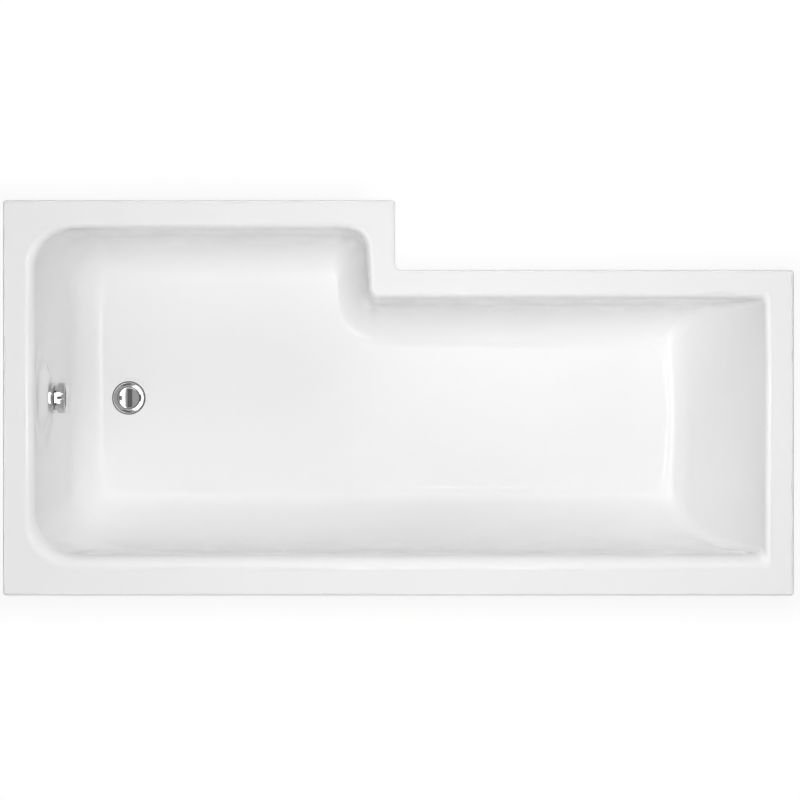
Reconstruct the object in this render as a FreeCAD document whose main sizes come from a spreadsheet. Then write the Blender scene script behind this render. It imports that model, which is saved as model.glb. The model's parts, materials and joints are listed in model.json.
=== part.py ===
import FreeCAD, Part
import math
import os
import re
import Sketcher

# L-shaped shower bath, standing on the floor z = 0 with its middle over the origin.
# +X is the waste end, -X the backrest, -Y the room side and +Y the wall side.

FULL_TURN = 360
QUARTER_TURN = 90
HEXAGON_SIDES = 6
GUIDE_ARMS = 3
NECK_WINDOWS = 6
TOUCH = 1e-4
VOLUME_SLACK = 0.01

doc = FreeCAD.newDocument("shower_bath")
size = doc.addObject("Spreadsheet::Sheet", "size")

# Driving dimensions in millimetres and degrees
SIZES = {
    # outer outline and heights
    "bath_length": 1700,
    "wide_width": 850,
    "step_depth": 150,
    "wide_length": 843,
    "rim_height": 545,
    "bowl_depth": 395,
    "skirt_depth": 40,
    "outer_corner_radius": 8,
    "step_corner_radius": 12,
    "outer_edge_radius": 4.5,
    # sheet thicknesses
    "acrylic": 5,
    "backing": 3.5,
    "bond_gap": 0.3,
    "backing_drop": 22,
    # flat rim from the outer edge to the well
    "rim_back": 62,
    "rim_front": 53,
    "rim_waste_end": 54,
    "rim_head_end": 54,
    "rim_step": 55,
    "rim_roll": 10,
    # plan corners of the well at the rim and at the floor
    "rim_radius_waste": 90,
    "rim_radius_head": 12,
    "rim_radius_step": 48,
    "rim_radius_nose": 22,
    "floor_radius_waste": 110,
    "floor_radius_head": 60,
    "floor_radius_step": 62,
    "floor_radius_nose": 70,
    # how far each wall runs in from rim to floor
    "side_wall_run": 55,
    "waste_wall_run": 95,
    "backrest_run": 176,
    "cove_radius": 48,
    # seat of the overflow on the waste-end wall
    "overflow_drop": 100,
    "overflow_tilt": 4,
    "seat_raise": 9.5,
    "seat_radius": 42,
    "seat_reach": 60,
    "overflow_hole_radius": 26,
    "overflow_clear_radius": 50,
    # overflow fittings along their axis
    "sleeve_radius": 24.5,
    "sleeve_wall": 3,
    "thread_clearance": 0.1,
    "overflow_sleeve_length": 24,
    "overflow_flange_radius": 33.5,
    "overflow_flange_thickness": 10,
    "flange_taper_length": 4.6,
    "flange_taper": 5.9,
    "neck_radius": 26.7,
    "neck_wall": 3,
    "neck_length": 4.6,
    "neck_window": 15,
    "knob_gap": 0.3,
    "knob_length": 23.7,
    "knob_edge_radius": 4,
    "notch_radius": 7,
    "notch_start": 0.8,
    "notch_slope": 7,
    "spindle_radius": 4,
    "spindle_grip": 12,
    "bearing_clearance": 0.15,
    "gasket_thickness": 3,
    "gasket_radius": 38,
    "gasket_hole_clearance": 1,
    "body_flange_radius": 40,
    "body_flange_thickness": 5,
    "body_wall": 4.4,
    "overflow_body_depth": 42,
    "drum_radius": 11,
    "drum_groove_radius": 5.79,
    "drum_width": 8,
    "drum_lip": 2,
    "drum_side_gap": 2,
    "cover_radius": 18,
    "cover_wall": 3,
    # hose between overflow and waste
    "spigot_radius": 16,
    "spigot_wall": 3,
    "overflow_spigot_drop": 62,
    "overflow_spigot_back": 32,
    "waste_spigot_reach": 62,
    "waste_spigot_drop": 36,
    "hose_fit": 0.2,
    "hose_wall": 2.6,
    "hose_rib": 1.6,
    "hose_rib_flank": 1.4,
    "hose_rib_crest": 2.1,
    "hose_pitch": 7,
    "hose_bend_radius": 60,
    "hose_lap": 24,
    "clip_width": 9,
    "clip_thickness": 1.2,
    "clip_screw_radius": 3.5,
    "clip_screw_length": 16,
    # waste in the floor
    "waste_from_end": 243,
    "waste_hole_radius": 26,
    "waste_clear_radius": 48,
    "waste_flange_radius": 36,
    "waste_flange_thickness": 3.2,
    "waste_flange_edge": 2.2,
    "upper_gasket_thickness": 1,
    "upper_gasket_radius": 33,
    "waste_sleeve_length": 26,
    "plug_radius": 24.4,
    "plug_gap": 0.6,
    "plug_thickness": 3.4,
    "plug_crown_radius": 120,
    "plug_seat_depth": 2.4,
    "seal_inner_radius": 19.5,
    "seal_outer_radius": 23.4,
    "seal_thickness": 1.6,
    "seal_gap": 0.1,
    "stem_radius": 4,
    "stem_length": 40,
    "guide_radius": 7.5,
    "guide_length": 12,
    "guide_drop": 14,
    "guide_arm_width": 3,
    "waste_body_depth": 62,
    "waste_floor": 5,
    "waste_floor_fall": 5,
    "tail_radius": 23.9,
    "tail_wall": 4.4,
    "tail_length": 30,
    # lifter under the plug
    "plug_lift": 10,
    "lifter_arm": 18,
    "lifter_tip_radius": 3,
    "lifter_bar": 4,
    "lifter_width": 8,
    "lifter_gap": 0.4,
    "lifter_hub_radius": 4.5,
    "shaft_radius": 2.5,
    "shaft_boss_radius": 6,
    "shaft_boss_reach": 28,
    "crank_gap": 1,
    "crank_thickness": 5,
    "crank_length": 20,
    "crank_width": 8,
    "crank_slot": 2.4,
    # control cable
    "sheath_radius": 2.5,
    "sheath_bore": 1,
    "wire_radius": 0.75,
    "wire_length": 52,
    "nipple_radius": 2.4,
    "nipple_length": 4,
    "nipple_gap": 1.3,
    "lug_offset": 22,
    "lug_length": 8,
    "lug_half_height": 6,
    "lug_reach": 6,
    "sheath_clearance": 0.1,
    "sheath_grip_clearance": 0.3,
    "sheath_grip": 10,
    "sheath_lead": 24,
    "cable_bend_radius": 80,
    "cable_boss_radius": 5,
    "cable_boss_length": 16,
    # boards and battens
    "board_thickness": 18,
    "board_waste_gap": 75,
    "board_head_gap": 265,
    "board_back_gap": 200,
    "board_front_gap": 160,
    "board_step_gap": 145,
    "batten_width": 28,
    "batten_gap": 4,
    "batten_corner_gap": 3,
    # leg bars, bracket and feet
    "bar_width": 40,
    "bar_depth": 25,
    "bar_thickness": 2.5,
    "bar_overhang": 24,
    "bar_from_waste_end": 520,
    "bar_from_head_end": 380,
    "foot_from_side": 78,
    "foot_rod_radius": 5,
    "foot_rod_clearance": 0.3,
    "foot_rod_above": 40,
    "foot_pad_radius": 26,
    "foot_pad_edge": 5,
    "foot_pad_height": 18,
    "foot_pad_neck": 9,
    "foot_pad_floor": 8,
    "nut_radius": 9.8,
    "nut_height": 8,
    "centre_foot_offset": -60,
    "bracket_web": 52,
    "bracket_flange": 24,
    "bracket_drop": 40,
    "bracket_length": 120,
    "centre_rod_gap": 10,
    # wood screws
    "screw_radius": 2,
    "screw_length": 15,
    "screw_head_radius": 4.2,
    "screw_head": 2.6,
    "screw_clearance": 0.3,
    "bar_screw_inner": 40,
    "bar_screw_outer": 130,
    "bracket_screw_spread": 40,
    # wall brackets under the back rim
    "wall_bracket_spacing": 1000,
    "wall_bracket_width": 45,
    "wall_bracket_thickness": 2.5,
    "wall_bracket_drop": 62,
    "wall_bracket_reach": 44,
    "wall_hole_radius": 3,
    "wall_hole_drop": 36,
    "wall_screw_spread": 12,
    # how far a drilled hole runs past the sheet it goes through
    "hole_overrun": 5,
}

for row, (alias, number) in enumerate(SIZES.items(), start=1):
    size.set(f"A{row}", str(number))
    size.setAlias(f"A{row}", alias)
doc.recompute()


def terms(text):
    """Turn the plain size names in an expression into references to the sheet."""
    return re.sub(r"[a-z_]+", lambda m: "size." + m[0] if m[0] in SIZES else m[0], text)


def amount(text):
    return float(size.evalExpression(terms(text)))


def bind(obj, prop, text):
    obj.setExpression(prop, terms(text))


def put(obj, x="0", y="0", z="0"):
    bind(obj, "Placement.Base.x", x)
    bind(obj, "Placement.Base.y", y)
    bind(obj, "Placement.Base.z", z)


def turn(obj, axis, angle):
    obj.Placement = FreeCAD.Placement(FreeCAD.Vector(), FreeCAD.Rotation(FreeCAD.Vector(*axis), 1))
    bind(obj, "Placement.Rotation.Angle", angle)


# Places that several pieces share

WASTE_END = "bath_length / 2"
HEAD_END = "-bath_length / 2"
BACK = "wide_width / 2"
FRONT = "-wide_width / 2"
NARROW_FRONT = "(step_depth - wide_width / 2)"
STEP = "(bath_length / 2 - wide_length)"
FLOOR = "(rim_height - bowl_depth)"
LAYERS = "(acrylic + bond_gap + backing)"
BOARD_BOTTOM = f"({FLOOR} - {LAYERS} - board_thickness)"
SKIRT_BOTTOM = "(rim_height - skirt_depth)"
WASTE_X = "(bath_length / 2 - waste_from_end)"
SEAT_X = ("(bath_length / 2 - rim_waste_end - waste_wall_run * overflow_drop / bowl_depth"
          " - seat_raise)")
SEAT_Z = "(rim_height - overflow_drop)"
SOCKET = "(sleeve_radius + thread_clearance)"
SWING = "asin(plug_lift / 2 / lifter_arm)"


# Primitive solids with every size bound to the sheet

def block(name, dx, dy, dz, x, y, z):
    box = doc.addObject("Part::Box", name)
    bind(box, "Length", dx)
    bind(box, "Width", dy)
    bind(box, "Height", dz)
    put(box, x, y, z)
    return box


TURNED = {"z": None, "x": ((0, 1, 0), f"{QUARTER_TURN}"), "y": ((1, 0, 0), f"-{QUARTER_TURN}")}


def bar(name, radius, length, x="0", y="0", z="0", along="z"):
    """A round bar that starts at x, y, z and runs along one axis."""
    cylinder = doc.addObject("Part::Cylinder", name)
    if TURNED[along]:
        turn(cylinder, *TURNED[along])
    bind(cylinder, "Radius", radius)
    bind(cylinder, "Height", length)
    put(cylinder, x, y, z)
    return cylinder


def hexagon(name, radius, height, x, y, z):
    prism = doc.addObject("Part::Prism", name)
    prism.Polygon = HEXAGON_SIDES
    bind(prism, "Circumradius", radius)
    bind(prism, "Height", height)
    put(prism, x, y, z)
    return prism


def fuse(name, *parts):
    joined = doc.addObject("Part::MultiFuse", name)
    joined.Shapes = list(parts)
    return joined


def cut(name, base, *tools):
    rest = doc.addObject("Part::Cut", name)
    rest.Base = base
    rest.Tool = tools[0] if len(tools) == 1 else fuse(name + "_tools", *tools)
    return rest


def group(name, parts):
    together = doc.addObject("Part::Compound", name)
    together.Links = list(parts)
    return together


# Sketches

def hold(sketch, kind, line, end, text):
    """Hold one end of a line at a signed distance from the origin."""
    index = sketch.addConstraint(Sketcher.Constraint(kind, -1, 1, line, end, amount(text)))
    sketch.setExpression(f"Constraints[{index}]", terms(text))


def polygon(sketch, points):
    """Close a polygon of straight lines; each point is a pair of expressions."""
    corners = [FreeCAD.Vector(amount(x), amount(y), 0) for x, y in points]
    count = len(corners)
    first = sketch.GeometryCount
    for i in range(count):
        sketch.addGeometry(Part.LineSegment(corners[i], corners[(i + 1) % count]))
    for i in range(count):
        following = first + (i + 1) % count
        sketch.addConstraint(Sketcher.Constraint("Coincident", first + i, 2, following, 1))
    for i, (x, y) in enumerate(points):
        hold(sketch, "DistanceX", first + i, 1, x)
        hold(sketch, "DistanceY", first + i, 1, y)


def rounded_outline(name, corners, height):
    """A level outline of straight sides, alternately along X and Y, joined by tangent arcs."""
    sketch = doc.addObject("Sketcher::SketchObject", name)
    bind(sketch, "Placement.Base.z", height)
    count = len(corners)
    points = [FreeCAD.Vector(amount(x), amount(y), 0) for x, y, _ in corners]
    radii = [amount(radius) for _, _, radius in corners]
    arrive = []
    leave = []
    for i in range(count):
        back = (points[i - 1] - points[i]).normalize()
        ahead = (points[(i + 1) % count] - points[i]).normalize()
        arrive.append(points[i] + back * radii[i])
        leave.append(points[i] + ahead * radii[i])
    for i in range(count):
        centre = arrive[i] + leave[i] - points[i]
        middle = centre + (points[i] - centre).normalize() * radii[i]
        sketch.addGeometry(Part.Arc(arrive[i], middle, leave[i]))
        sketch.addGeometry(Part.LineSegment(leave[i], arrive[(i + 1) % count]))
    for i in range(count):
        arc = 2 * i
        side = arc + 1
        before = (arc - 1) % (2 * count)
        start = sketch.getPoint(arc, 1)
        entry = 1 if start.distanceToPoint(arrive[i]) < start.distanceToPoint(leave[i]) else 2
        sketch.addConstraint(Sketcher.Constraint("Tangent", before, 2, arc, entry))
        sketch.addConstraint(Sketcher.Constraint("Tangent", arc, 3 - entry, side, 1))
        index = sketch.addConstraint(Sketcher.Constraint("Radius", arc, radii[i]))
        sketch.setExpression(f"Constraints[{index}]", terms(corners[i][2]))
        span = points[(i + 1) % count] - points[i]
        level = abs(span.y) < abs(span.x)
        sketch.addConstraint(Sketcher.Constraint("Horizontal" if level else "Vertical", side))
        hold(sketch, "DistanceY" if level else "DistanceX", side, 1, corners[i][1 if level else 0])
    return sketch


# Bodies made from a sketch on one of their own planes

def body_sketch(name, plane):
    body = doc.addObject("PartDesign::Body", name)
    sketch = body.newObject("Sketcher::SketchObject", name + "_sketch")
    attach(body, sketch, plane)
    return body, sketch


def attach(body, sketch, plane):
    support = next(f for f in body.Origin.OriginFeatures if f.Role == plane)
    sketch.AttachmentSupport = (support, [""])
    sketch.MapMode = "FlatFace"


def turned(name, points):
    """A solid turned about the body's Z axis; points are radius and height."""
    body, sketch = body_sketch(name, "XZ_Plane")
    polygon(sketch, points)
    revolution = body.newObject("PartDesign::Revolution", name + "_turned")
    revolution.Profile = sketch
    revolution.ReferenceAxis = (sketch, ["V_Axis"])
    revolution.Angle = FULL_TURN
    return body


def channel(name, points, length):
    """A profile in the XZ plane drawn out to both sides of it along Y."""
    body, sketch = body_sketch(name, "XZ_Plane")
    polygon(sketch, points)
    pad = body.newObject("PartDesign::Pad", name + "_length")
    pad.Profile = sketch
    pad.Midplane = True
    bind(pad, "Length", length)
    return body


def ring_points(inner, outer, low, high):
    return [(inner, low), (outer, low), (outer, high), (inner, high)]


def round_edges(name, body, radius, pick):
    """Round the edges of a body that the test picks out."""
    doc.recompute()
    last = body.Tip
    names = [f"Edge{i}" for i, edge in enumerate(last.Shape.Edges, start=1) if pick(edge)]
    fillet = body.newObject("PartDesign::Fillet", name)
    fillet.Base = (last, names)
    bind(fillet, "Radius", radius)
    return fillet


def circle_at(radius, height):
    """A test for a full circle of that radius about the body's axis at that height."""
    def pick(edge):
        curve = edge.Curve
        return (isinstance(curve, Part.Circle) and abs(curve.Radius - amount(radius)) < TOUCH
                and abs(curve.Center.z - amount(height)) < TOUCH)
    return pick


# Acrylic shell

def well_corners(grow, height):
    """Plan corners of the well at a height, moved out from its surface by a thickness."""
    fall = f"((rim_height - {height}) / bowl_depth)"

    def inset(run):
        return f"({run} * {fall} - {grow} * sqrt(1 + ({run} / bowl_depth) ^ 2))"

    def radius(place, sign):
        rim = f"rim_radius_{place}"
        return f"({rim} + (floor_radius_{place} - {rim}) * {fall} {sign} {grow})"

    waste = f"({WASTE_END} - rim_waste_end - {inset('waste_wall_run')})"
    head = f"({HEAD_END} + rim_head_end + {inset('backrest_run')})"
    back = f"({BACK} - rim_back - {inset('side_wall_run')})"
    front = f"({FRONT} + rim_front + {inset('side_wall_run')})"
    narrow = f"({NARROW_FRONT} + rim_front + {inset('side_wall_run')})"
    step = f"({STEP} + rim_step + {inset('side_wall_run')})"
    return [
        (waste, back, radius("waste", "+")),
        (head, back, radius("head", "+")),
        (head, narrow, radius("head", "+")),
        (step, narrow, radius("nose", "-")),
        (step, front, radius("step", "+")),
        (waste, front, radius("waste", "+")),
    ]


def edges_of_wires(shape, wires):
    """Numbers of the edges of a shape that belong to some of its wires."""
    wanted = [edge for wire in wires for edge in wire.Edges]
    return [
        i for i, edge in enumerate(shape.Edges, start=1)
        if any(edge.isSame(w) for w in wanted)
    ]


def level_face(shape, height):
    """The largest flat level face at a height."""
    flat = [
        face for face in shape.Faces
        if abs(face.BoundBox.ZMin - height) < TOUCH and face.BoundBox.ZLength < TOUCH
    ]
    return max(flat, key=lambda face: face.Area)


def well(name, grow, top):
    """The solid inside the well, grown by a thickness, with its floor edge rounded."""
    low = f"({FLOOR} - {grow})"
    loft = doc.addObject("Part::Loft", name + "_loft")
    loft.Sections = [
        rounded_outline(name + "_top", well_corners(grow, top), top),
        rounded_outline(name + "_floor", well_corners(grow, low), low),
    ]
    loft.Solid = True
    loft.Ruled = True
    doc.recompute()
    cove = doc.addObject("Part::Fillet", name)
    cove.Base = loft
    floor = level_face(loft.Shape, amount(low))
    radius = amount(f"cove_radius + {grow}")
    cove.Edges = [(i, radius, radius) for i in edges_of_wires(loft.Shape, floor.Wires)]
    return cove


def rim_corners(inset):
    corner = f"(outer_corner_radius - {inset})"
    waste = f"({WASTE_END} - {inset})"
    head = f"({HEAD_END} + {inset})"
    back = f"({BACK} - {inset})"
    front = f"({FRONT} + {inset})"
    narrow = f"({NARROW_FRONT} + {inset})"
    step = f"({STEP} + {inset})"
    return [
        (waste, back, corner),
        (head, back, corner),
        (head, narrow, corner),
        (step, narrow, f"(step_corner_radius + {inset})"),
        (step, front, corner),
        (waste, front, corner),
    ]


def drawn_up(name, sketch, height):
    solid = doc.addObject("Part::Extrusion", name)
    solid.Base = sketch
    solid.DirMode = "Custom"
    solid.Dir = FreeCAD.Vector(0, 0, 1)
    solid.Solid = True
    bind(solid, "LengthFwd", height)
    return solid


def on_overflow(obj, out, up="0", dip="0"):
    """Stand a piece on the overflow's axis, which leans back from level by the tilt."""
    turn(obj, (0, -1, 0), f"{QUARTER_TURN} - overflow_tilt + {dip}")
    put(obj,
        f"{SEAT_X} - ({out}) * cos(overflow_tilt) + ({up}) * sin(overflow_tilt)",
        "0",
        f"{SEAT_Z} + ({out}) * sin(overflow_tilt) + ({up}) * cos(overflow_tilt)")
    return obj


def seat_cone(name, face_radius, back):
    """The raised seat: a cone that widens at 45 degrees behind its face."""
    cone = doc.addObject("Part::Cone", name)
    bind(cone, "Radius1", f"{face_radius} + seat_reach")
    bind(cone, "Radius2", face_radius)
    bind(cone, "Height", "seat_reach")
    return on_overflow(cone, f"-seat_reach - {back}")


def overflow_bar(name, radius, start, end):
    """A round bar on the overflow's axis between two distances in front of the seat."""
    cylinder = doc.addObject("Part::Cylinder", name)
    bind(cylinder, "Radius", radius)
    bind(cylinder, "Height", f"({end}) - ({start})")
    return on_overflow(cylinder, start)


def floor_drill(name, radius):
    """A bar that drills through the floor at the waste, layers and all."""
    return bar(name, radius, f"{LAYERS} + 2 * hole_overrun",
               WASTE_X, "0", f"{FLOOR} - {LAYERS} - hole_overrun")


def bath_shell():
    outside = rounded_outline("rim_outline", rim_corners("0"), SKIRT_BOTTOM)
    inside = rounded_outline("rim_under_outline", rim_corners("acrylic"), SKIRT_BOTTOM)
    plate = drawn_up("rim_block", outside, "skirt_depth")
    under = drawn_up("rim_under", inside, "skirt_depth - acrylic")
    tray = cut("rim_tray", plate, under)
    cavity = well("well_inside", "0", "rim_height")
    bowl = well("well_outside", "acrylic", "rim_height")
    raw = cut("shell_raw", fuse("shell_outside", tray, bowl), cavity)
    doc.recompute()
    rolled = doc.addObject("Part::Fillet", "shell_rolled")
    rolled.Base = raw
    top = level_face(raw.Shape, amount("rim_height"))
    below = level_face(raw.Shape, amount("rim_height - acrylic"))
    inner = [w for w in top.Wires if not w.isSame(top.OuterWire)]
    neck = [w for w in below.Wires if not w.isSame(below.OuterWire)]
    edges = []
    rolls = (
        ([top.OuterWire], "outer_edge_radius"),
        (inner, "rim_roll"),
        (neck, "rim_roll - acrylic"),
    )
    for wires, text in rolls:
        radius = amount(text)
        edges += [(i, radius, radius) for i in edges_of_wires(raw.Shape, wires)]
    rolled.Edges = edges
    seat = doc.addObject("Part::Common", "overflow_seat")
    seat.Base = seat_cone("seat_front", "seat_radius", "0")
    seat.Tool = cavity
    back_radius = "(seat_radius + acrylic * (1 - sqrt(2)))"
    return cut("bath_shell", fuse("shell_seated", rolled, seat),
               seat_cone("seat_back", back_radius, "acrylic"),
               overflow_bar("overflow_hole", "overflow_hole_radius", "-seat_reach", "seat_reach"),
               floor_drill("waste_hole", "waste_hole_radius"))


# Glass-fibre backing, boards and battens

def glass_fibre_backing():
    top = "(rim_height - backing_drop)"
    skin = cut("backing_skin", well("backing_outside", LAYERS, top),
               well("backing_inside", "(acrylic + bond_gap)", top))
    return cut("glass_fibre_backing", skin,
               overflow_bar("overflow_clear", "overflow_clear_radius", "-2 * seat_reach", "0"),
               floor_drill("waste_clear", "waste_clear_radius"))


BOARD_HEAD = f"({HEAD_END} + board_head_gap)"
BOARD_WASTE = f"({WASTE_X} - board_waste_gap)"
BOARD_BACK = f"({BACK} - board_back_gap)"
BOARD_NARROW = f"({NARROW_FRONT} + board_front_gap)"
BOARD_WIDE = f"({FRONT} + board_front_gap)"
BOARD_STEP = f"({STEP} + board_step_gap)"
BOARD_MIDDLE = f"(({BOARD_BACK} + {BOARD_NARROW}) / 2)"


def baseboard(screw_holes):
    long_board = block("board_long",
                       f"{BOARD_WASTE} - {BOARD_HEAD}", f"{BOARD_BACK} - {BOARD_NARROW}", "board_thickness",
                       BOARD_HEAD, BOARD_NARROW, BOARD_BOTTOM)
    side_board = block("board_side",
                       f"{BOARD_WASTE} - {BOARD_STEP}", f"{BOARD_NARROW} - {BOARD_WIDE}", "board_thickness",
                       BOARD_STEP, BOARD_WIDE, BOARD_BOTTOM)
    return cut("baseboard", fuse("board_blank", long_board, side_board), screw_holes)


def rim_battens(bracket_holes):
    """One batten under each straight run of the rim, filling the skirt's depth."""
    inset = "(acrylic + batten_gap)"
    width = "batten_width"
    tall = "skirt_depth - acrylic"
    past = f"({inset} + {width} + batten_corner_gap)"
    waste = f"({WASTE_END} - {inset})"
    head = f"({HEAD_END} + {inset})"
    back = f"({BACK} - {inset})"
    front = f"({FRONT} + {inset})"
    narrow = f"({NARROW_FRONT} + {inset})"
    step = f"({STEP} + {inset})"
    inner_back = f"({BACK} - {past})"
    inner_waste = f"({WASTE_END} - {past})"
    inner_head = f"({HEAD_END} + {past})"
    inner_front = f"({front} + {width} + batten_corner_gap)"
    narrow_end = f"({STEP} + {inset} - batten_corner_gap)"

    def batten(name, dx, dy, x, y):
        return block(name, dx, dy, tall, x, y, SKIRT_BOTTOM)

    back_blank = batten("batten_back_blank", f"{waste} - {head}", width, head, f"{back} - {width}")
    return [
        cut("rim_batten_back", back_blank, bracket_holes),
        batten("rim_batten_waste_end", width, f"{inner_back} - {front}", f"{waste} - {width}", front),
        batten("rim_batten_head_end", width, f"{inner_back} - {narrow}", head, narrow),
        batten("rim_batten_front", f"{inner_waste} - {step}", width, step, front),
        batten("rim_batten_step", width, f"{narrow} - {inner_front}", step, inner_front),
        batten("rim_batten_narrow_front", f"{narrow_end} - {inner_head}", width, inner_head, narrow),
    ]


# Wood screws, driven upwards

def screws(name, places, seat):
    """Screws with their heads just below a seat height, and the holes they need."""
    solids = []
    shanks = []
    holes = []
    for i, (x, y) in enumerate(places, start=1):
        shank = bar(f"{name}_shank_{i}", "screw_radius", "screw_length", x, y, seat)
        head = bar(f"{name}_head_{i}", "screw_head_radius", "screw_head", x, y, f"{seat} - screw_head")
        solids.append(fuse(f"{name}_{i}", shank, head))
        shanks.append(shank)
        holes.append(bar(f"{name}_hole_{i}", "screw_radius + screw_clearance", "screw_length", x, y,
                         f"{seat} - screw_length / 2"))
    return group(name, solids), group(name + "_shanks", shanks), group(name + "_holes", holes)


# Leg bars, centre bracket and feet

BAR_X = {
    "waste_end": f"({WASTE_END} - bar_from_waste_end)",
    "head_end": f"({HEAD_END} + bar_from_head_end)",
}
FOOT_BACK = f"({BACK} - foot_from_side)"
FOOT_FRONT = f"({FRONT} + foot_from_side)"
FOOT_NARROW = f"({NARROW_FRONT} + foot_from_side)"
BAR_FRONT = {"waste_end": FOOT_FRONT, "head_end": FOOT_NARROW}
BAR_SEAT = f"({BOARD_BOTTOM} - bar_thickness)"
CENTRE_X = "centre_foot_offset"
CENTRE_Y = f"(({BACK} + {NARROW_FRONT}) / 2)"
CENTRE_SEAT = f"({BOARD_BOTTOM} - bracket_drop)"
ROD_HOLE = "foot_rod_radius + foot_rod_clearance"
BAR_ROD_TOP = f"{BOARD_BOTTOM} + foot_rod_above"


def rod_hole(name, x, y, seat):
    return bar(name, ROD_HOLE, "bar_thickness + 2 * hole_overrun", x, y, f"{seat} - hole_overrun")


def leg_bar(end, screw_holes):
    half = "bar_width / 2"
    inner = f"({half} - bar_thickness)"
    points = [
        (f"-{half}", "-bar_depth"), (f"-{half}", "0"), (half, "0"), (half, "-bar_depth"),
        (inner, "-bar_depth"), (inner, "-bar_thickness"),
        (f"-{inner}", "-bar_thickness"), (f"-{inner}", "-bar_depth"),
    ]
    blank = channel(f"leg_bar_blank_{end}", points, f"{FOOT_BACK} - {BAR_FRONT[end]} + 2 * bar_overhang")
    put(blank, BAR_X[end], f"({FOOT_BACK} + {BAR_FRONT[end]}) / 2", BOARD_BOTTOM)
    return cut(f"leg_bar_{end}", blank, screw_holes,
               rod_hole(f"rod_hole_back_{end}", BAR_X[end], FOOT_BACK, BAR_SEAT),
               rod_hole(f"rod_hole_front_{end}", BAR_X[end], BAR_FRONT[end], BAR_SEAT))


def centre_bracket(screw_holes):
    half = "bracket_web / 2"
    inner = f"({half} - bar_thickness)"
    out = f"({half} + bracket_flange)"
    under = "-bar_thickness"
    low = "-bracket_drop"
    floor = f"{low} + bar_thickness"
    points = [
        (f"-{out}", "0"), (f"-{inner}", "0"), (f"-{inner}", floor),
        (inner, floor), (inner, "0"), (out, "0"),
        (out, under), (half, under), (half, low),
        (f"-{half}", low), (f"-{half}", under), (f"-{out}", under),
    ]
    blank = channel("centre_bracket_blank", points, "bracket_length")
    put(blank, CENTRE_X, CENTRE_Y, BOARD_BOTTOM)
    return cut("centre_foot_bracket", blank, screw_holes,
               rod_hole("rod_hole_centre", CENTRE_X, CENTRE_Y, CENTRE_SEAT))


FEET = {
    "waste_back": (BAR_X["waste_end"], FOOT_BACK, BAR_ROD_TOP),
    "waste_front": (BAR_X["waste_end"], FOOT_FRONT, BAR_ROD_TOP),
    "head_back": (BAR_X["head_end"], FOOT_BACK, BAR_ROD_TOP),
    "head_front": (BAR_X["head_end"], FOOT_NARROW, BAR_ROD_TOP),
    "centre": (CENTRE_X, CENTRE_Y, f"{BOARD_BOTTOM} - centre_rod_gap"),
}


def foot(place):
    x, y, top = FEET[place]
    pad = turned(f"foot_pad_{place}", [
        ("0", "0"), ("foot_pad_radius", "0"), ("foot_pad_radius", "foot_pad_edge"),
        ("foot_pad_neck", "foot_pad_height"), ("foot_rod_radius", "foot_pad_height"),
        ("foot_rod_radius", "foot_pad_floor"), ("0", "foot_pad_floor")])
    put(pad, x, y, "0")
    rod = bar(f"foot_rod_{place}", "foot_rod_radius", f"{top} - foot_pad_floor", x, y, "foot_pad_floor")
    return [pad, rod]


def lock_nuts():
    """Two nuts on every rod, one on each side of the bar or bracket."""
    nuts = []
    for place, (x, y, _) in FEET.items():
        seat = CENTRE_SEAT if place == "centre" else BAR_SEAT
        for side, z in (("upper", f"{seat} + bar_thickness"), ("lower", f"{seat} - nut_height")):
            name = f"nut_{side}_{place}"
            blank = hexagon(name + "_blank", "nut_radius", "nut_height", x, y, z)
            nuts.append(cut(name, blank, bar(name + "_bore", ROD_HOLE, "nut_height", x, y, z)))
    return group("foot_lock_nuts", nuts)


# Wall brackets under the back rim

BRACKET_X = {"waste_end": "wall_bracket_spacing / 2", "head_end": "-wall_bracket_spacing / 2"}
BRACKET_SCREW_Y = f"({BACK} - acrylic - batten_gap - batten_width / 2)"


def wall_bracket(end, screw_holes):
    x = f"{BRACKET_X[end]} - wall_bracket_width / 2"
    level = block(f"bracket_level_{end}",
                  "wall_bracket_width", "wall_bracket_reach", "wall_bracket_thickness",
                  x, f"{BACK} - wall_bracket_reach", f"{SKIRT_BOTTOM} - wall_bracket_thickness")
    upright = block(f"bracket_upright_{end}",
                    "wall_bracket_width", "wall_bracket_thickness", "wall_bracket_drop",
                    x, f"{BACK} - wall_bracket_thickness", f"{SKIRT_BOTTOM} - wall_bracket_drop")
    hole = bar(f"bracket_hole_{end}", "wall_hole_radius", "wall_bracket_thickness + 2 * hole_overrun",
               BRACKET_X[end], f"{BACK} - wall_bracket_thickness - hole_overrun",
               f"{SKIRT_BOTTOM} - wall_hole_drop", along="y")
    return cut(f"wall_bracket_{end}", fuse(f"bracket_blank_{end}", level, upright), hole, screw_holes)


# Waste, turned about a vertical axis with heights counted from the bath floor

SPIGOT_BORE = "(spigot_radius - spigot_wall)"
FLANGE_TOP = "(upper_gasket_thickness + waste_flange_thickness)"
SEAT_LEVEL = f"({FLANGE_TOP} - plug_seat_depth)"
SEAL_BOTTOM = f"({SEAT_LEVEL} + seal_gap)"
PLUG_BOTTOM = f"({SEAL_BOTTOM} + seal_thickness)"
PLUG_TOP = f"({PLUG_BOTTOM} + plug_thickness)"
STEM_BOTTOM = f"({PLUG_BOTTOM} - stem_length)"
BODY_TOP = "(-acrylic - gasket_thickness)"
BODY_RADIUS = f"({SOCKET} + body_wall)"
SHAFT_X = f"({WASTE_X} - lifter_arm)"
SHAFT_Z = f"({FLOOR} + {STEM_BOTTOM} - lifter_gap - lifter_tip_radius + plug_lift / 2)"
CRANK_Y = "(shaft_boss_reach + crank_gap)"
WIRE_Y = f"({CRANK_Y} + crank_thickness / 2)"
WIRE_Z = f"({SHAFT_Z} - crank_length)"
WIRE_X = f"({SHAFT_X} - crank_length * sin({SWING}))"
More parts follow.
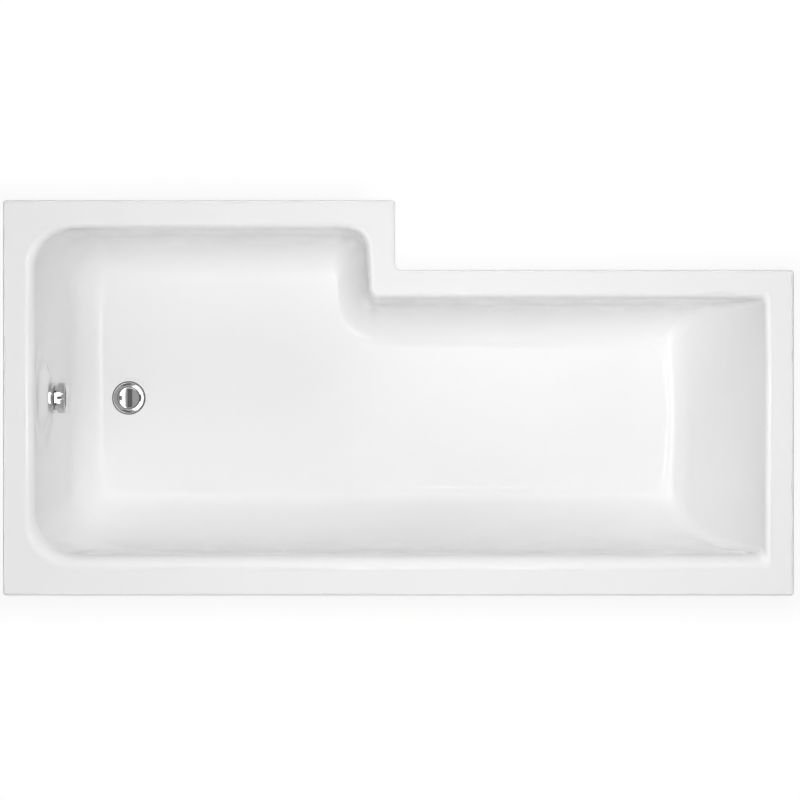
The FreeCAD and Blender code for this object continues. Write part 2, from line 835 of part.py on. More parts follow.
LUG_X = f"({WASTE_X} + lug_offset)"


def waste_flange():
    bore = "(sleeve_radius - sleeve_wall)"
    mouth = "(plug_radius + plug_gap)"
    face = turned("waste_flange_ring", [
        (bore, "-waste_sleeve_length"), ("sleeve_radius", "-waste_sleeve_length"),
        ("sleeve_radius", "upper_gasket_thickness"), ("waste_flange_radius", "upper_gasket_thickness"),
        ("waste_flange_radius", f"{FLANGE_TOP} - waste_flange_edge"),
        ("waste_flange_radius - waste_flange_edge", FLANGE_TOP), (mouth, FLANGE_TOP), (mouth, SEAT_LEVEL),
        ("seal_inner_radius", SEAT_LEVEL), ("seal_inner_radius", f"{SEAT_LEVEL} - sleeve_wall"),
        (bore, f"{SEAT_LEVEL} - 2 * sleeve_wall")])
    put(face, WASTE_X, "0", FLOOR)
    top = f"{FLOOR} - guide_drop"
    guide = bar("guide_boss", "guide_radius", "guide_length", WASTE_X, "0", f"{top} - guide_length")
    arms = [guide]
    for i in range(GUIDE_ARMS):
        angle = i * FULL_TURN / GUIDE_ARMS
        arm = doc.addObject("Part::Box", f"guide_arm_{i}")
        turn(arm, (0, 0, 1), f"{angle}")
        bind(arm, "Length", f"{bore} + sleeve_wall / 2")
        bind(arm, "Width", "guide_arm_width")
        bind(arm, "Height", "guide_length / 2")
        put(arm, f"{WASTE_X} + guide_arm_width / 2 * sin({angle})",
            f"-guide_arm_width / 2 * cos({angle})", f"{top} - guide_length / 2")
        arms.append(arm)
    return cut("waste_flange", fuse("waste_flange_blank", face, *arms),
               bar("guide_bore", "stem_radius + bearing_clearance", "guide_length + 2 * hole_overrun",
                   WASTE_X, "0", f"{top} - guide_length - hole_overrun"))


def waste_plug():
    """A disc on a stem, crowned by keeping only what lies inside a large ball."""
    blank = turned("plug_blank", [
        ("0", STEM_BOTTOM), ("stem_radius", STEM_BOTTOM), ("stem_radius", PLUG_BOTTOM),
        ("plug_radius", PLUG_BOTTOM), ("plug_radius", PLUG_TOP), ("0", PLUG_TOP)])
    put(blank, WASTE_X, "0", FLOOR)
    ball = doc.addObject("Part::Sphere", "plug_crown")
    bind(ball, "Radius", "plug_crown_radius")
    put(ball, WASTE_X, "0", f"{FLOOR} + {PLUG_TOP} - plug_crown_radius")
    plug = doc.addObject("Part::Common", "waste_plug")
    plug.Base = blank
    plug.Tool = ball
    return plug


def waste_ring(name, inner, outer, low, high):
    ring = turned(name, ring_points(inner, outer, low, high))
    put(ring, WASTE_X, "0", FLOOR)
    return ring


def waste_body():
    low = "(-waste_body_depth)"
    tail = f"({low} - tail_length)"
    flange = f"({BODY_TOP} - body_flange_thickness)"
    outside = turned("waste_body_outside", [
        ("0", BODY_TOP), ("body_flange_radius", BODY_TOP), ("body_flange_radius", flange),
        (BODY_RADIUS, flange), (BODY_RADIUS, low), ("tail_radius", low), ("tail_radius", tail), ("0", tail)])
    drain = "(tail_radius - tail_wall)"
    inside = turned("waste_body_inside", [
        ("0", tail), (drain, tail), (drain, f"{low} + waste_floor"),
        (SOCKET, f"{low} + waste_floor + waste_floor_fall"), (SOCKET, BODY_TOP), ("0", BODY_TOP)])
    for solid in (outside, inside):
        put(solid, WASTE_X, "0", FLOOR)
    spigot_z = f"{FLOOR} - waste_spigot_drop"
    spigot = bar("waste_spigot", "spigot_radius", "waste_spigot_reach", WASTE_X, "0", spigot_z, along="x")
    boss = bar("shaft_boss", "shaft_boss_radius", "shaft_boss_reach", SHAFT_X, "0", SHAFT_Z, along="y")
    lug = block("cable_lug", "lug_length", f"{WIRE_Y} + lug_reach", "2 * lug_half_height",
                LUG_X, "0", f"{WIRE_Z} - lug_half_height")
    return cut("waste_body", fuse("waste_body_blank", outside, spigot, boss, lug), inside,
               bar("waste_spigot_bore", SPIGOT_BORE, "waste_spigot_reach", WASTE_X, "0", spigot_z, along="x"),
               bar("shaft_bore", "shaft_radius + bearing_clearance", "shaft_boss_reach",
                   SHAFT_X, "0", SHAFT_Z, along="y"),
               bar("lug_bore", "sheath_radius + sheath_clearance", "lug_length + 2 * hole_overrun",
                   f"{LUG_X} - hole_overrun", WIRE_Y, WIRE_Z, along="x"))


# Lifter: lever, shaft and crank, drawn level and then swung down to their rest

def on_lifter(obj, x, y, z):
    turn(obj, (0, 1, 0), SWING)
    put(obj, f"{SHAFT_X} + ({x}) * cos({SWING}) + ({z}) * sin({SWING})", y,
        f"{SHAFT_Z} - ({x}) * sin({SWING}) + ({z}) * cos({SWING})")
    return obj


def lifter_plate(name, dx, dy, dz, x, y, z):
    plate = doc.addObject("Part::Box", name)
    bind(plate, "Length", dx)
    bind(plate, "Width", dy)
    bind(plate, "Height", dz)
    return on_lifter(plate, x, y, z)


def lifter():
    near = "-lifter_width / 2"
    shaft = bar("lifter_shaft", "shaft_radius", f"{CRANK_Y} + crank_thickness - ({near})",
                SHAFT_X, near, SHAFT_Z, along="y")
    hub = bar("lever_hub", "lifter_hub_radius", "lifter_width", SHAFT_X, near, SHAFT_Z, along="y")
    tip = bar("lever_tip", "lifter_tip_radius", "lifter_width", f"{SHAFT_X} + lifter_arm * cos({SWING})",
              near, f"{SHAFT_Z} - lifter_arm * sin({SWING})", along="y")
    web = lifter_plate("lever_web", "lifter_arm", "lifter_width", "lifter_bar", "0", near, "-lifter_bar / 2")
    lever = cut("lifter_lever", fuse("lever_blank", hub, tip, web), shaft)
    boss = bar("crank_hub", "shaft_boss_radius", "crank_thickness", SHAFT_X, CRANK_Y, SHAFT_Z, along="y")
    end = "-crank_length - crank_width / 2"
    arm = lifter_plate("crank_arm", "crank_width", "crank_thickness", "crank_length + crank_width / 2",
                       "-crank_width / 2", CRANK_Y, end)
    slot = lifter_plate("crank_slot_cut", "2 * crank_width", "crank_slot", "crank_width",
                        "-crank_width", f"{WIRE_Y} - crank_slot / 2", end)
    crank = cut("lifter_crank", fuse("crank_blank", boss, arm), slot, shaft)
    return [lever, shaft, crank]


# Control cable

def route(points, radius):
    """Straight runs between points, joined by tangent arcs of one radius."""
    edges = []
    start = points[0]
    for before, corner, after in zip(points, points[1:], points[2:]):
        back = (before - corner).normalize()
        ahead = (after - corner).normalize()
        half = back.getAngle(ahead) / 2
        reach = radius / math.tan(half)
        centre = corner + (back + ahead).normalize() * (radius / math.sin(half))
        entry = corner + back * reach
        leave = corner + ahead * reach
        middle = centre + (corner - centre).normalize() * radius
        edges.append(Part.LineSegment(start, entry).toShape())
        edges.append(Part.Arc(entry, middle, leave).toShape())
        start = leave
    edges.append(Part.LineSegment(start, points[-1]).toShape())
    return Part.Wire(edges)


def tube_along(path, radius):
    """A round solid along a route of lines and arcs, checked against its length."""
    first = path.Edges[0]
    start = first.valueAt(first.FirstParameter)
    circle = Part.Wire(Part.makeCircle(radius, start, first.tangentAt(first.FirstParameter)))
    solid = path.makePipeShell([circle], True, False)
    expected = math.pi * radius ** 2 * path.Length
    if not solid.isValid() or abs(solid.Volume / expected - 1) > VOLUME_SLACK:
        raise ValueError("the tube does not follow its route")
    return solid


def shape_feature(name, shape):
    made = doc.addObject("Part::Feature", name)
    made.Shape = shape
    return made


DRUM_MIDDLE = "(overflow_body_depth + acrylic + gasket_thickness + drum_side_gap + drum_width / 2)"
DRUM_X = f"({SEAT_X} + {DRUM_MIDDLE} * cos(overflow_tilt))"
DRUM_Z = f"({SEAT_Z} - {DRUM_MIDDLE} * sin(overflow_tilt))"
CABLE_BOSS_LOW = f"({DRUM_Z} - cover_radius - cable_boss_length)"


def cable_sheath():
    """Straight down out of the drum cover, then across to the lug on the waste."""
    top = FreeCAD.Vector(amount(DRUM_X), amount("drum_groove_radius"),
                         amount(f"{CABLE_BOSS_LOW} + sheath_grip"))
    lead = FreeCAD.Vector(top.x, top.y, top.z - amount("sheath_grip + sheath_lead"))
    corner = FreeCAD.Vector(top.x, amount(WIRE_Y), amount(WIRE_Z))
    end = FreeCAD.Vector(amount(f"{LUG_X} + lug_length - sheath_grip"), corner.y, corner.z)
    path = route([top, lead, corner, end], amount("cable_bend_radius"))
    outer = tube_along(path, amount("sheath_radius"))
    return shape_feature("cable_sheath", outer.cut(tube_along(path, amount("sheath_bore"))))


def cable_wire():
    wire_start = f"({WIRE_X} - crank_width / 2 - nipple_gap)"
    wire = bar("wire_run", "wire_radius", "wire_length", wire_start, WIRE_Y, WIRE_Z, along="x")
    nipple = bar("wire_nipple", "nipple_radius", "nipple_length",
                 f"{wire_start} - nipple_length", WIRE_Y, WIRE_Z, along="x")
    return fuse("cable_wire", wire, nipple)


# Overflow fittings, turned about the overflow's axis with distances counted from the seat

NECK_END = "(overflow_flange_thickness + flange_taper_length + neck_length)"
KNOB_BACK = f"({NECK_END} + knob_gap)"
KNOB_FRONT = f"({KNOB_BACK} + knob_length)"
BODY_FRONT = "(-acrylic - gasket_thickness)"
BODY_REAR = f"({BODY_FRONT} - overflow_body_depth)"
SPIGOT_X = f"({SEAT_X} + overflow_spigot_back * cos(overflow_tilt))"
SPIGOT_LOW = f"({SEAT_Z} - overflow_spigot_drop)"
WASTE_SPIGOT_Z = f"({FLOOR} - waste_spigot_drop)"
WASTE_SPIGOT_END = f"({WASTE_X} + waste_spigot_reach)"


def overflow_flange():
    bore = "(sleeve_radius - sleeve_wall)"
    neck_bore = "(neck_radius - neck_wall)"
    taper_end = "(overflow_flange_thickness + flange_taper_length)"
    body = turned("overflow_flange", [
        (bore, "-overflow_sleeve_length"), ("sleeve_radius", "-overflow_sleeve_length"),
        ("sleeve_radius", "0"), ("overflow_flange_radius", "0"),
        ("overflow_flange_radius", "overflow_flange_thickness"),
        ("overflow_flange_radius - flange_taper", taper_end), ("neck_radius", taper_end),
        ("neck_radius", NECK_END), (neck_bore, NECK_END), (neck_bore, taper_end), (bore, taper_end)])
    doc.recompute()
    sketch = body.newObject("Sketcher::SketchObject", "neck_window_sketch")
    attach(body, sketch, "XZ_Plane")
    half = "neck_window / 2"
    polygon(sketch, [("-" + half, taper_end), (half, taper_end), (half, NECK_END), ("-" + half, NECK_END)])
    window = body.newObject("PartDesign::Pocket", "neck_window_cut")
    window.Profile = sketch
    window.Type = "ThroughAll"
    window.Midplane = True
    doc.recompute()
    pattern = body.newObject("PartDesign::PolarPattern", "neck_windows")
    pattern.Originals = [window]
    axis = next(f for f in body.Origin.OriginFeatures if f.Role == "Z_Axis")
    pattern.Axis = (axis, [""])
    pattern.Angle = FULL_TURN
    pattern.Occurrences = NECK_WINDOWS
    body.Tip = pattern
    return on_overflow(body, "0")


def overflow_knob():
    socket_end = f"({KNOB_BACK} + spindle_grip)"
    body = turned("knob_turned", [
        ("spindle_radius", KNOB_BACK), ("overflow_flange_radius", KNOB_BACK),
        ("overflow_flange_radius", KNOB_FRONT), ("0", KNOB_FRONT),
        ("0", socket_end), ("spindle_radius", socket_end)])
    round_edges("knob_edge", body, "knob_edge_radius", circle_at("overflow_flange_radius", KNOB_FRONT))
    on_overflow(body, "0")
    notch = doc.addObject("Part::Cylinder", "knob_notch")
    bind(notch, "Radius", "notch_radius")
    bind(notch, "Height", "2 * knob_length")
    on_overflow(notch, f"{KNOB_BACK} + notch_start",
                up="overflow_flange_radius + notch_radius / cos(notch_slope)", dip="notch_slope")
    return cut("overflow_knob", body, notch)


def knob_spindle():
    return overflow_bar("knob_spindle", "spindle_radius", f"{BODY_REAR} - drum_side_gap - drum_width",
                        f"{KNOB_BACK} + spindle_grip")


def cable_drum():
    near = f"({BODY_REAR} - drum_side_gap)"
    far = f"({near} - drum_width)"
    drum = turned("cable_drum", [
        ("spindle_radius", far), ("drum_radius", far), ("drum_radius", f"{far} + drum_lip"),
        ("drum_groove_radius", f"{far} + drum_lip"), ("drum_groove_radius", f"{near} - drum_lip"),
        ("drum_radius", f"{near} - drum_lip"), ("drum_radius", near), ("spindle_radius", near)])
    return on_overflow(drum, "0")


def overflow_gasket():
    ring = turned("overflow_gasket", ring_points("sleeve_radius + gasket_hole_clearance", "gasket_radius",
                                                 BODY_FRONT, "-acrylic"))
    return on_overflow(ring, "0")


def overflow_body():
    flange = f"({BODY_FRONT} - body_flange_thickness)"
    outside = turned("overflow_body_outside", [
        ("0", BODY_REAR), (BODY_RADIUS, BODY_REAR), (BODY_RADIUS, flange),
        ("body_flange_radius", flange), ("body_flange_radius", BODY_FRONT), ("0", BODY_FRONT)])
    on_overflow(outside, "0")
    spigot = bar("overflow_spigot", "spigot_radius", "overflow_spigot_drop", SPIGOT_X, "0", SPIGOT_LOW)
    return cut("overflow_body", fuse("overflow_body_blank", outside, spigot),
               overflow_bar("overflow_chamber", SOCKET, f"{BODY_REAR} + body_wall", BODY_FRONT),
               overflow_bar("spindle_bearing", "spindle_radius + bearing_clearance", BODY_REAR, BODY_FRONT),
               bar("overflow_spigot_bore", SPIGOT_BORE, "overflow_spigot_drop", SPIGOT_X, "0", SPIGOT_LOW))


def drum_cover():
    depth = "(2 * drum_side_gap + drum_width)"
    floor = f"({BODY_REAR} - {depth})"
    inner = "(cover_radius - cover_wall)"
    cup = turned("drum_cover_cup", [
        ("0", f"{floor} - cover_wall"), ("cover_radius", f"{floor} - cover_wall"),
        ("cover_radius", BODY_REAR), (inner, BODY_REAR), (inner, floor), ("0", floor)])
    on_overflow(cup, "0")

    def cable_bar(name, radius, length):
        return bar(name, radius, length, DRUM_X, "drum_groove_radius", CABLE_BOSS_LOW)

    boss = cable_bar("cable_boss", "cable_boss_radius", "cover_radius + cable_boss_length - drum_radius")
    hollow = overflow_bar("drum_hollow", inner, floor, BODY_REAR)
    entry = cable_bar("cable_entry", "wire_radius + sheath_bore", "cover_radius + cable_boss_length")
    grip = cable_bar("cable_grip", "sheath_radius + sheath_grip_clearance", "sheath_grip")
    return cut("drum_cover", fuse("drum_cover_blank", cup, boss), hollow, entry, grip)


# Ribbed overflow hose with its clips

HOSE_BORE = "(spigot_radius + hose_fit)"
HOSE_RADIUS = f"({HOSE_BORE} + hose_wall)"


def overflow_hose():
    top = FreeCAD.Vector(amount(SPIGOT_X), 0, amount(f"{SPIGOT_LOW} + hose_lap"))
    corner = FreeCAD.Vector(top.x, 0, amount(WASTE_SPIGOT_Z))
    end = FreeCAD.Vector(amount(f"{WASTE_SPIGOT_END} - hose_lap"), 0, corner.z)
    path = route([top, corner, end], amount("hose_bend_radius"))
    valley = amount(HOSE_RADIUS)
    crest = valley + amount("hose_rib")
    cuff = 2 * amount("hose_lap")
    ribbed = path.Length - 2 * cuff
    count = round(ribbed / amount("hose_pitch"))
    pitch = ribbed / count
    flank = amount("hose_rib_flank")
    far_flank = flank + amount("hose_rib_crest")
    rib = ((0, valley), (flank, crest), (far_flank, crest), (far_flank + flank, valley))
    stations = [(0, valley)]
    for i in range(count):
        stations += [(cuff + i * pitch + along, radius) for along, radius in rib]
    stations.append((path.Length, valley))
    outer = Part.makeLoft([hose_circle(path, far, radius) for far, radius in stations], True, True)
    return shape_feature("overflow_hose", outer.cut(tube_along(path, amount(HOSE_BORE))))


def hose_circle(path, far, radius):
    """A circle square to the route at a distance along it, with its start always towards +Y."""
    for edge in path.Edges:
        if far <= edge.Length + TOUCH:
            break
        far -= edge.Length
    at = edge.getParameterByLength(min(far, edge.Length))
    across = FreeCAD.Vector(0, 1, 0)
    along = edge.tangentAt(at)
    facing = FreeCAD.Rotation(across, along.cross(across), along, "ZXY")
    circle = Part.Wire(Part.makeCircle(radius))
    circle.Placement = FreeCAD.Placement(edge.valueAt(at), facing)
    return circle


def hose_clip(name, x, z, along):
    """A band round a hose end, with its screw across one side."""
    outer = f"({HOSE_RADIUS} + clip_thickness)"
    band = bar(name + "_band", outer, "clip_width", x, "0", z, along)
    hole = bar(name + "_hole", HOSE_RADIUS, "clip_width", x, "0", z, along)
    places = {
        "z": (f"{x} - clip_screw_length / 2", f"{z} + clip_width / 2", "x"),
        "x": (f"{x} + clip_width / 2", f"{z} - clip_screw_length / 2", "z"),
    }
    screw_x, screw_z, screw_along = places[along]
    screw = bar(name + "_screw", "clip_screw_radius", "clip_screw_length",
                screw_x, f"-{outer} - clip_screw_radius / 2", screw_z, screw_along)
    return cut(name, fuse(name + "_blank", band, screw), hole)


# Assembly

def assembly():
    bar_places = [(BAR_X[end], f"{BOARD_MIDDLE} {sign} {spread}") for end in BAR_X for sign in "+-"
                  for spread in ("bar_screw_inner", "bar_screw_outer")]
    flange_middle = "(bracket_web / 2 + bracket_flange / 2)"
    bracket_places = [(f"{CENTRE_X} {a} {flange_middle}", f"{CENTRE_Y} {b} bracket_screw_spread")
                      for a in "+-" for b in "+-"]
    wall_places = [(f"{x} {sign} wall_screw_spread", BRACKET_SCREW_Y)
                   for x in BRACKET_X.values() for sign in "+-"]
    bar_screws, bar_shanks, bar_holes = screws("leg_bar_screws", bar_places, BAR_SEAT)
    bracket_screws, bracket_shanks, bracket_holes = screws("centre_bracket_screws", bracket_places, BAR_SEAT)
    wall_screws, wall_shanks, wall_holes = screws("wall_bracket_screws", wall_places,
                                                  f"({SKIRT_BOTTOM} - wall_bracket_thickness)")
    board_holes = group("board_screw_holes", [bar_shanks, bracket_shanks])
    nodes = [bath_shell(), glass_fibre_backing(), baseboard(board_holes)]
    nodes += rim_battens(wall_shanks)
    nodes += [leg_bar("waste_end", bar_holes), leg_bar("head_end", bar_holes), centre_bracket(bracket_holes)]
    nodes += [bar_screws, bracket_screws, wall_screws, lock_nuts()]
    nodes += [wall_bracket(end, wall_holes) for end in BRACKET_X]
    for place in FEET:
        nodes += foot(place)
    nodes += [waste_flange(), waste_plug(), waste_body()]
    hole = "sleeve_radius + gasket_hole_clearance"
    nodes += [
        waste_ring("waste_upper_gasket", hole, "upper_gasket_radius", "0", "upper_gasket_thickness"),
        waste_ring("waste_lower_gasket", hole, "gasket_radius", BODY_TOP, "-acrylic"),
        waste_ring("plug_seal", "seal_inner_radius", "seal_outer_radius", SEAL_BOTTOM, PLUG_BOTTOM),
    ]
    nodes += lifter()
    nodes += [cable_sheath(), cable_wire()]
    nodes += [overflow_flange(), overflow_knob(), knob_spindle(), cable_drum()]
    nodes += [overflow_gasket(), overflow_body(), drum_cover()]
    clip_lap = "(hose_lap - clip_width) / 2"
    nodes += [
        overflow_hose(),
        hose_clip("hose_clip_overflow", SPIGOT_X, f"{SPIGOT_LOW} + {clip_lap}", "z"),
        hose_clip("hose_clip_waste", f"{WASTE_SPIGOT_END} - hose_lap + {clip_lap}", WASTE_SPIGOT_Z, "x"),
    ]
    return nodes


nodes = assembly()
doc.recompute()

for obj in doc.Objects:
    if "Invalid" in obj.State or "Error" in obj.State:
        raise ValueError(f"{obj.Name} is {obj.State}")

os.makedirs("parts", exist_ok=True)
for node in nodes:
    if node.Shape.isNull() or not node.Shape.isValid():
        raise ValueError(f"{node.Label} has no valid shape")
    node.Shape.exportStep(f"parts/{node.Label}.step")
    print(f"{node.Label}: {len(node.Shape.Solids)} solid(s), {node.Shape.Volume / 1000:.1f} cm3")
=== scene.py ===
# %% [markdown]
# # An L-shaped shower bath
# The bath is one sheet of white acrylic, drawn down into a mould, with glass fibre sprayed on its back.
# A chrome overflow knob lifts the plug in the floor, and adjustable feet carry everything.
# The CAD model is loaded first and never moved: it is the frame that every new piece is fitted to.

# %% Load the frame
import json
import math

import bmesh
import bpy
from mathutils import Matrix, Vector


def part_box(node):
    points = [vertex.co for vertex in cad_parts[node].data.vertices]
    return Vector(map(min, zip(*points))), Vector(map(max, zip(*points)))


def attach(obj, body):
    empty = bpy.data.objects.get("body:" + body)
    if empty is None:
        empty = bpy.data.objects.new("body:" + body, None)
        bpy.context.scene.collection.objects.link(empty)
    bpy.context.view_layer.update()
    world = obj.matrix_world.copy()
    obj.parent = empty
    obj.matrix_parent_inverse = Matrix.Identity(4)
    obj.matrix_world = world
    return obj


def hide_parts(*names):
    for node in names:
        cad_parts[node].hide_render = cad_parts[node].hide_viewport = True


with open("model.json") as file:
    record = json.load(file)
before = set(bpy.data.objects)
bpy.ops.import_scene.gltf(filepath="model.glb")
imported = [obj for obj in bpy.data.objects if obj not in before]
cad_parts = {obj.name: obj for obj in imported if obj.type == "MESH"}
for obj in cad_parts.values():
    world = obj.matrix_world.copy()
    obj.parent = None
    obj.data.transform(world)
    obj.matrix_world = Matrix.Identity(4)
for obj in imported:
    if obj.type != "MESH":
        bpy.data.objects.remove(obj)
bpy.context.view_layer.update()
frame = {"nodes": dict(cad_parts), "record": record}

MM = 0.001

# %% [markdown]
# ## The view
# The photograph looks straight down from far away, so the rim is almost a plan drawing.
# A long lens high above the rim gives that. Turning the camera half round puts the waste on the left.

# %% Camera
RIM_Z = 545 * MM
CAMERA_HEIGHT = 8.3
SENSOR = 36
VIEW_WIDTH = 1719 * MM
VIEW_MIDDLE = Vector((-3.4, 4.7, 0)) * MM

camera_data = bpy.data.cameras.new("plan_view")
camera_data.sensor_width = SENSOR
camera_data.lens = SENSOR * CAMERA_HEIGHT / VIEW_WIDTH
camera = bpy.data.objects.new("plan_view", camera_data)
camera.location = VIEW_MIDDLE + Vector((0, 0, RIM_Z + CAMERA_HEIGHT))
camera.rotation_euler = (0, 0, math.pi)
bpy.context.scene.collection.objects.link(camera)
bpy.context.scene.camera = camera
bpy.context.scene.view_settings.view_transform = "Standard"
print(f"lens of {camera_data.lens:.1f} mm, {CAMERA_HEIGHT} m above the rim")

# %% [markdown]
# ## Finishing a mesh
# Every new piece ends the same way: its mesh gets an object at the origin, smooth shading that stops at
# real edges, the finish it wears, and the CAD body and node it belongs to.

# %% Helpers that make an object and hand a piece over
SHARP_ANGLE = math.radians(38)
new_pieces = {}


def as_object(name, bm):
    """Turn a bmesh into an object at the origin."""
    mesh = bpy.data.meshes.new(name)
    bm.to_mesh(mesh)
    bm.free()
    made = bpy.data.objects.new(name, mesh)
    bpy.context.scene.collection.objects.link(made)
    return made


def hand_over(name, bm, body, slot, *nodes, normals=True):
    """Turn a bmesh into a piece that rides on a body and stands for some CAD nodes."""
    if normals:
        bmesh.ops.recalc_face_normals(bm, faces=bm.faces)
    piece = as_object(name, bm)
    piece.data.shade_smooth()
    piece.data.set_sharp_from_angle(angle=SHARP_ANGLE)
    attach(piece, body)
    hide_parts(*nodes)
    new_pieces[name] = (piece, slot)
    print(f"{name}: {len(piece.data.polygons)} faces")


print(f"edges turned by more than {math.degrees(SHARP_ANGLE):.0f} degrees stay sharp")

# %% [markdown]
# ## The acrylic shell: its sides
# On the real bath a heated sheet is pulled down into an L-shaped mould, so every level through it is an L
# with six rounded corners. A solid could be carved with booleans, but then the soft corners would be hard
# to control. Drawing the outline at many heights, each extruded from the last, keeps every wall's own slope
# and cove.

# %% Sizes of the shell
FLOOR_Z = 150 * MM
DEPTH = RIM_Z - FLOOR_Z
SKIRT_Z = RIM_Z - 40 * MM
ACRYLIC = 5 * MM
OUTER_ROLL = 4.5 * MM
# outer edge of the rim on each side, and the direction from it into the bath
EDGE = {"waste": (850 * MM, -1), "head": (-850 * MM, 1), "back": (425 * MM, -1),
        "front": (-425 * MM, 1), "narrow": (-275 * MM, 1), "step": (7 * MM, 1)}
# flat width of the rim on each side, up to where the sheet starts to roll over
FLAT_WIDTH = {"waste": 47.5 * MM, "head": 49 * MM, "back": 56.5 * MM,
              "front": 48.5 * MM, "narrow": 48.5 * MM, "step": 47 * MM}
# each wall: the roll at its top, its lean from rim to floor, the extra hollow towards its foot, and then
# the reach and the rise of its cove
WALL = {"waste": (20 * MM, 40 * MM, 30 * MM, 53 * MM, 75 * MM),
        "head": (13 * MM, 110 * MM, 60 * MM, 33 * MM, 40 * MM),
        "back": (33 * MM, 10 * MM, 0, 127 * MM, 300 * MM),
        "front": (13 * MM, 12 * MM, 0, 86 * MM, 190 * MM),
        "narrow": (14 * MM, 12 * MM, 0, 90 * MM, 180 * MM),
        "step": (13 * MM, 10 * MM, 0, 108 * MM, 190 * MM)}
# the step wall's cove would end below the floor, so the two meet in a crisp line
COVE_UNDERCUT = {"step": 0.1}
# at 2 a cove is part of an ellipse, and above 2 it leaves the wall more gently
COVE_EASE = 2.6
# corners in order round the bath, each with its plan radius at the rim and at the floor
CORNERS = (("waste", "back", 90 * MM, 80 * MM), ("head", "back", 12 * MM, 34 * MM),
           ("head", "narrow", 12 * MM, 30 * MM), ("step", "narrow", 10 * MM, 100 * MM),
           ("step", "front", 45 * MM, 20 * MM), ("waste", "front", 90 * MM, 80 * MM))
# place in CORNERS of the one that points into the bath, where the wide part ends
NOSE = 3
OUTER_RADIUS = 8 * MM
NOTCH_RADIUS = 12 * MM
LEAST_RADIUS = 10 * MM
STEP_SLANT = 4.5 * MM
BACKREST_BOW = 15 * MM


def wall_inset(side, z):
    """How far a wall stands in from the flat rim: the roll at the top, the slope, then the cove."""
    roll, lean, hollow, reach, rise = WALL[side]
    slope = math.atan2(lean, DEPTH)
    roll_reach = roll * math.tan((math.pi / 2 - slope) / 2)
    drop = RIM_Z - z
    if drop < roll_reach * math.cos(slope):
        return math.sqrt(roll ** 2 - (roll - drop) ** 2)
    fall = drop / DEPTH
    inset = roll_reach + lean * fall + hollow * fall ** 2
    share = (rise - z + FLOOR_Z) / rise / (1 + COVE_UNDERCUT.get(side, 0))
    if share > 0:
        inset += reach * (1 - math.sqrt(1 - min(share, 1) ** COVE_EASE))
    return inset


for side in WALL:
    print(f"at the floor the {side} wall stands in {wall_inset(side, FLOOR_Z) / MM:.1f} mm")

# %% [markdown]
# ## The acrylic shell: one level
# A level starts as a plain six-cornered face. A vertex bevel rounds each corner with its own radius, just
# as Ctrl+Shift+B does in the editor, and points are set along the straight sides so that they can bend.
# The next level is extruded from the last one and moved into place, so the rings always match.

# %% Helpers for bevels, rings and what an operator returns
def round_off(bm, geom, radius, steps, affect="VERTICES"):
    """Bevel corners or edges to a rounding of so many steps."""
    bmesh.ops.bevel(bm, geom=geom, offset=radius, offset_type="OFFSET", affect=affect, segments=steps,
                    profile=0.5, material=-1)


def pairs_round(ring):
    """Each point of a closed ring with the next one."""
    return zip(ring, ring[1:] + ring[:1])


def verts_in(geom):
    """The vertices in what an operator returns."""
    return [item for item in geom if isinstance(item, bmesh.types.BMVert)]


def edges_in(geom):
    """The edges in what an operator returns."""
    return [item for item in geom if isinstance(item, bmesh.types.BMEdge)]


def edges_at(verts):
    """The edges that meet at some vertices."""
    return list({edge for vert in verts for edge in vert.link_edges})


# %% One rounded outline, and the next ring
CORNER_STEPS = 12
# points set along the straight side after each corner
SIDE_CUTS = (16, 16, 8, 2, 6, 40)


def outline_points(corners, z):
    """Points in order round an outline with rounded corners; each corner is x, y and a radius."""
    bm = bmesh.new()
    verts = [bm.verts.new((x, y, z)) for x, y, _ in corners]
    bm.faces.new(verts)
    for vert, (_, _, radius) in zip(verts, corners):
        round_off(bm, [vert], radius, CORNER_STEPS)
    bm.faces.ensure_lookup_table()
    loop = [vert.co.copy() for vert in bm.faces[0].verts]
    bm.free()
    points = []
    for i, cuts in enumerate(SIDE_CUTS):
        start = (CORNER_STEPS + 1) * i
        end = start + CORNER_STEPS + 1
        points += loop[start:end]
        points += [loop[end - 1].lerp(loop[end % len(loop)], j / (cuts + 1)) for j in range(1, cuts + 1)]
    return points


def draw_down(bm, ring, points):
    """Extrude the last ring and move the new one onto its points, as the sheet is drawn down."""
    edges = [bm.edges.get(pair) for pair in pairs_round(ring)]
    grown = set(bmesh.ops.extrude_edge_only(bm, edges=edges)["geom"])
    new_ring = []
    for vert, point in zip(ring, points):
        twin = next(e.other_vert(vert) for e in vert.link_edges if e.other_vert(vert) in grown)
        twin.co = point
        new_ring.append(twin)
    return new_ring


print(f"{CORNER_STEPS} steps round each corner, {sum(SIDE_CUTS)} points along the sides")

# %% Corners of the rim and of the well
def rim_corners(inset):
    """Corners of the outer skirt and edge, counted in from the outer edge."""
    corners = []
    for i, (x_side, y_side, _, _) in enumerate(CORNERS):
        radius = NOTCH_RADIUS + inset if i == NOSE else OUTER_RADIUS - inset
        x, x_in = EDGE[x_side]
        y, y_in = EDGE[y_side]
        corners.append((x + x_in * inset, y + y_in * inset, radius))
    return corners


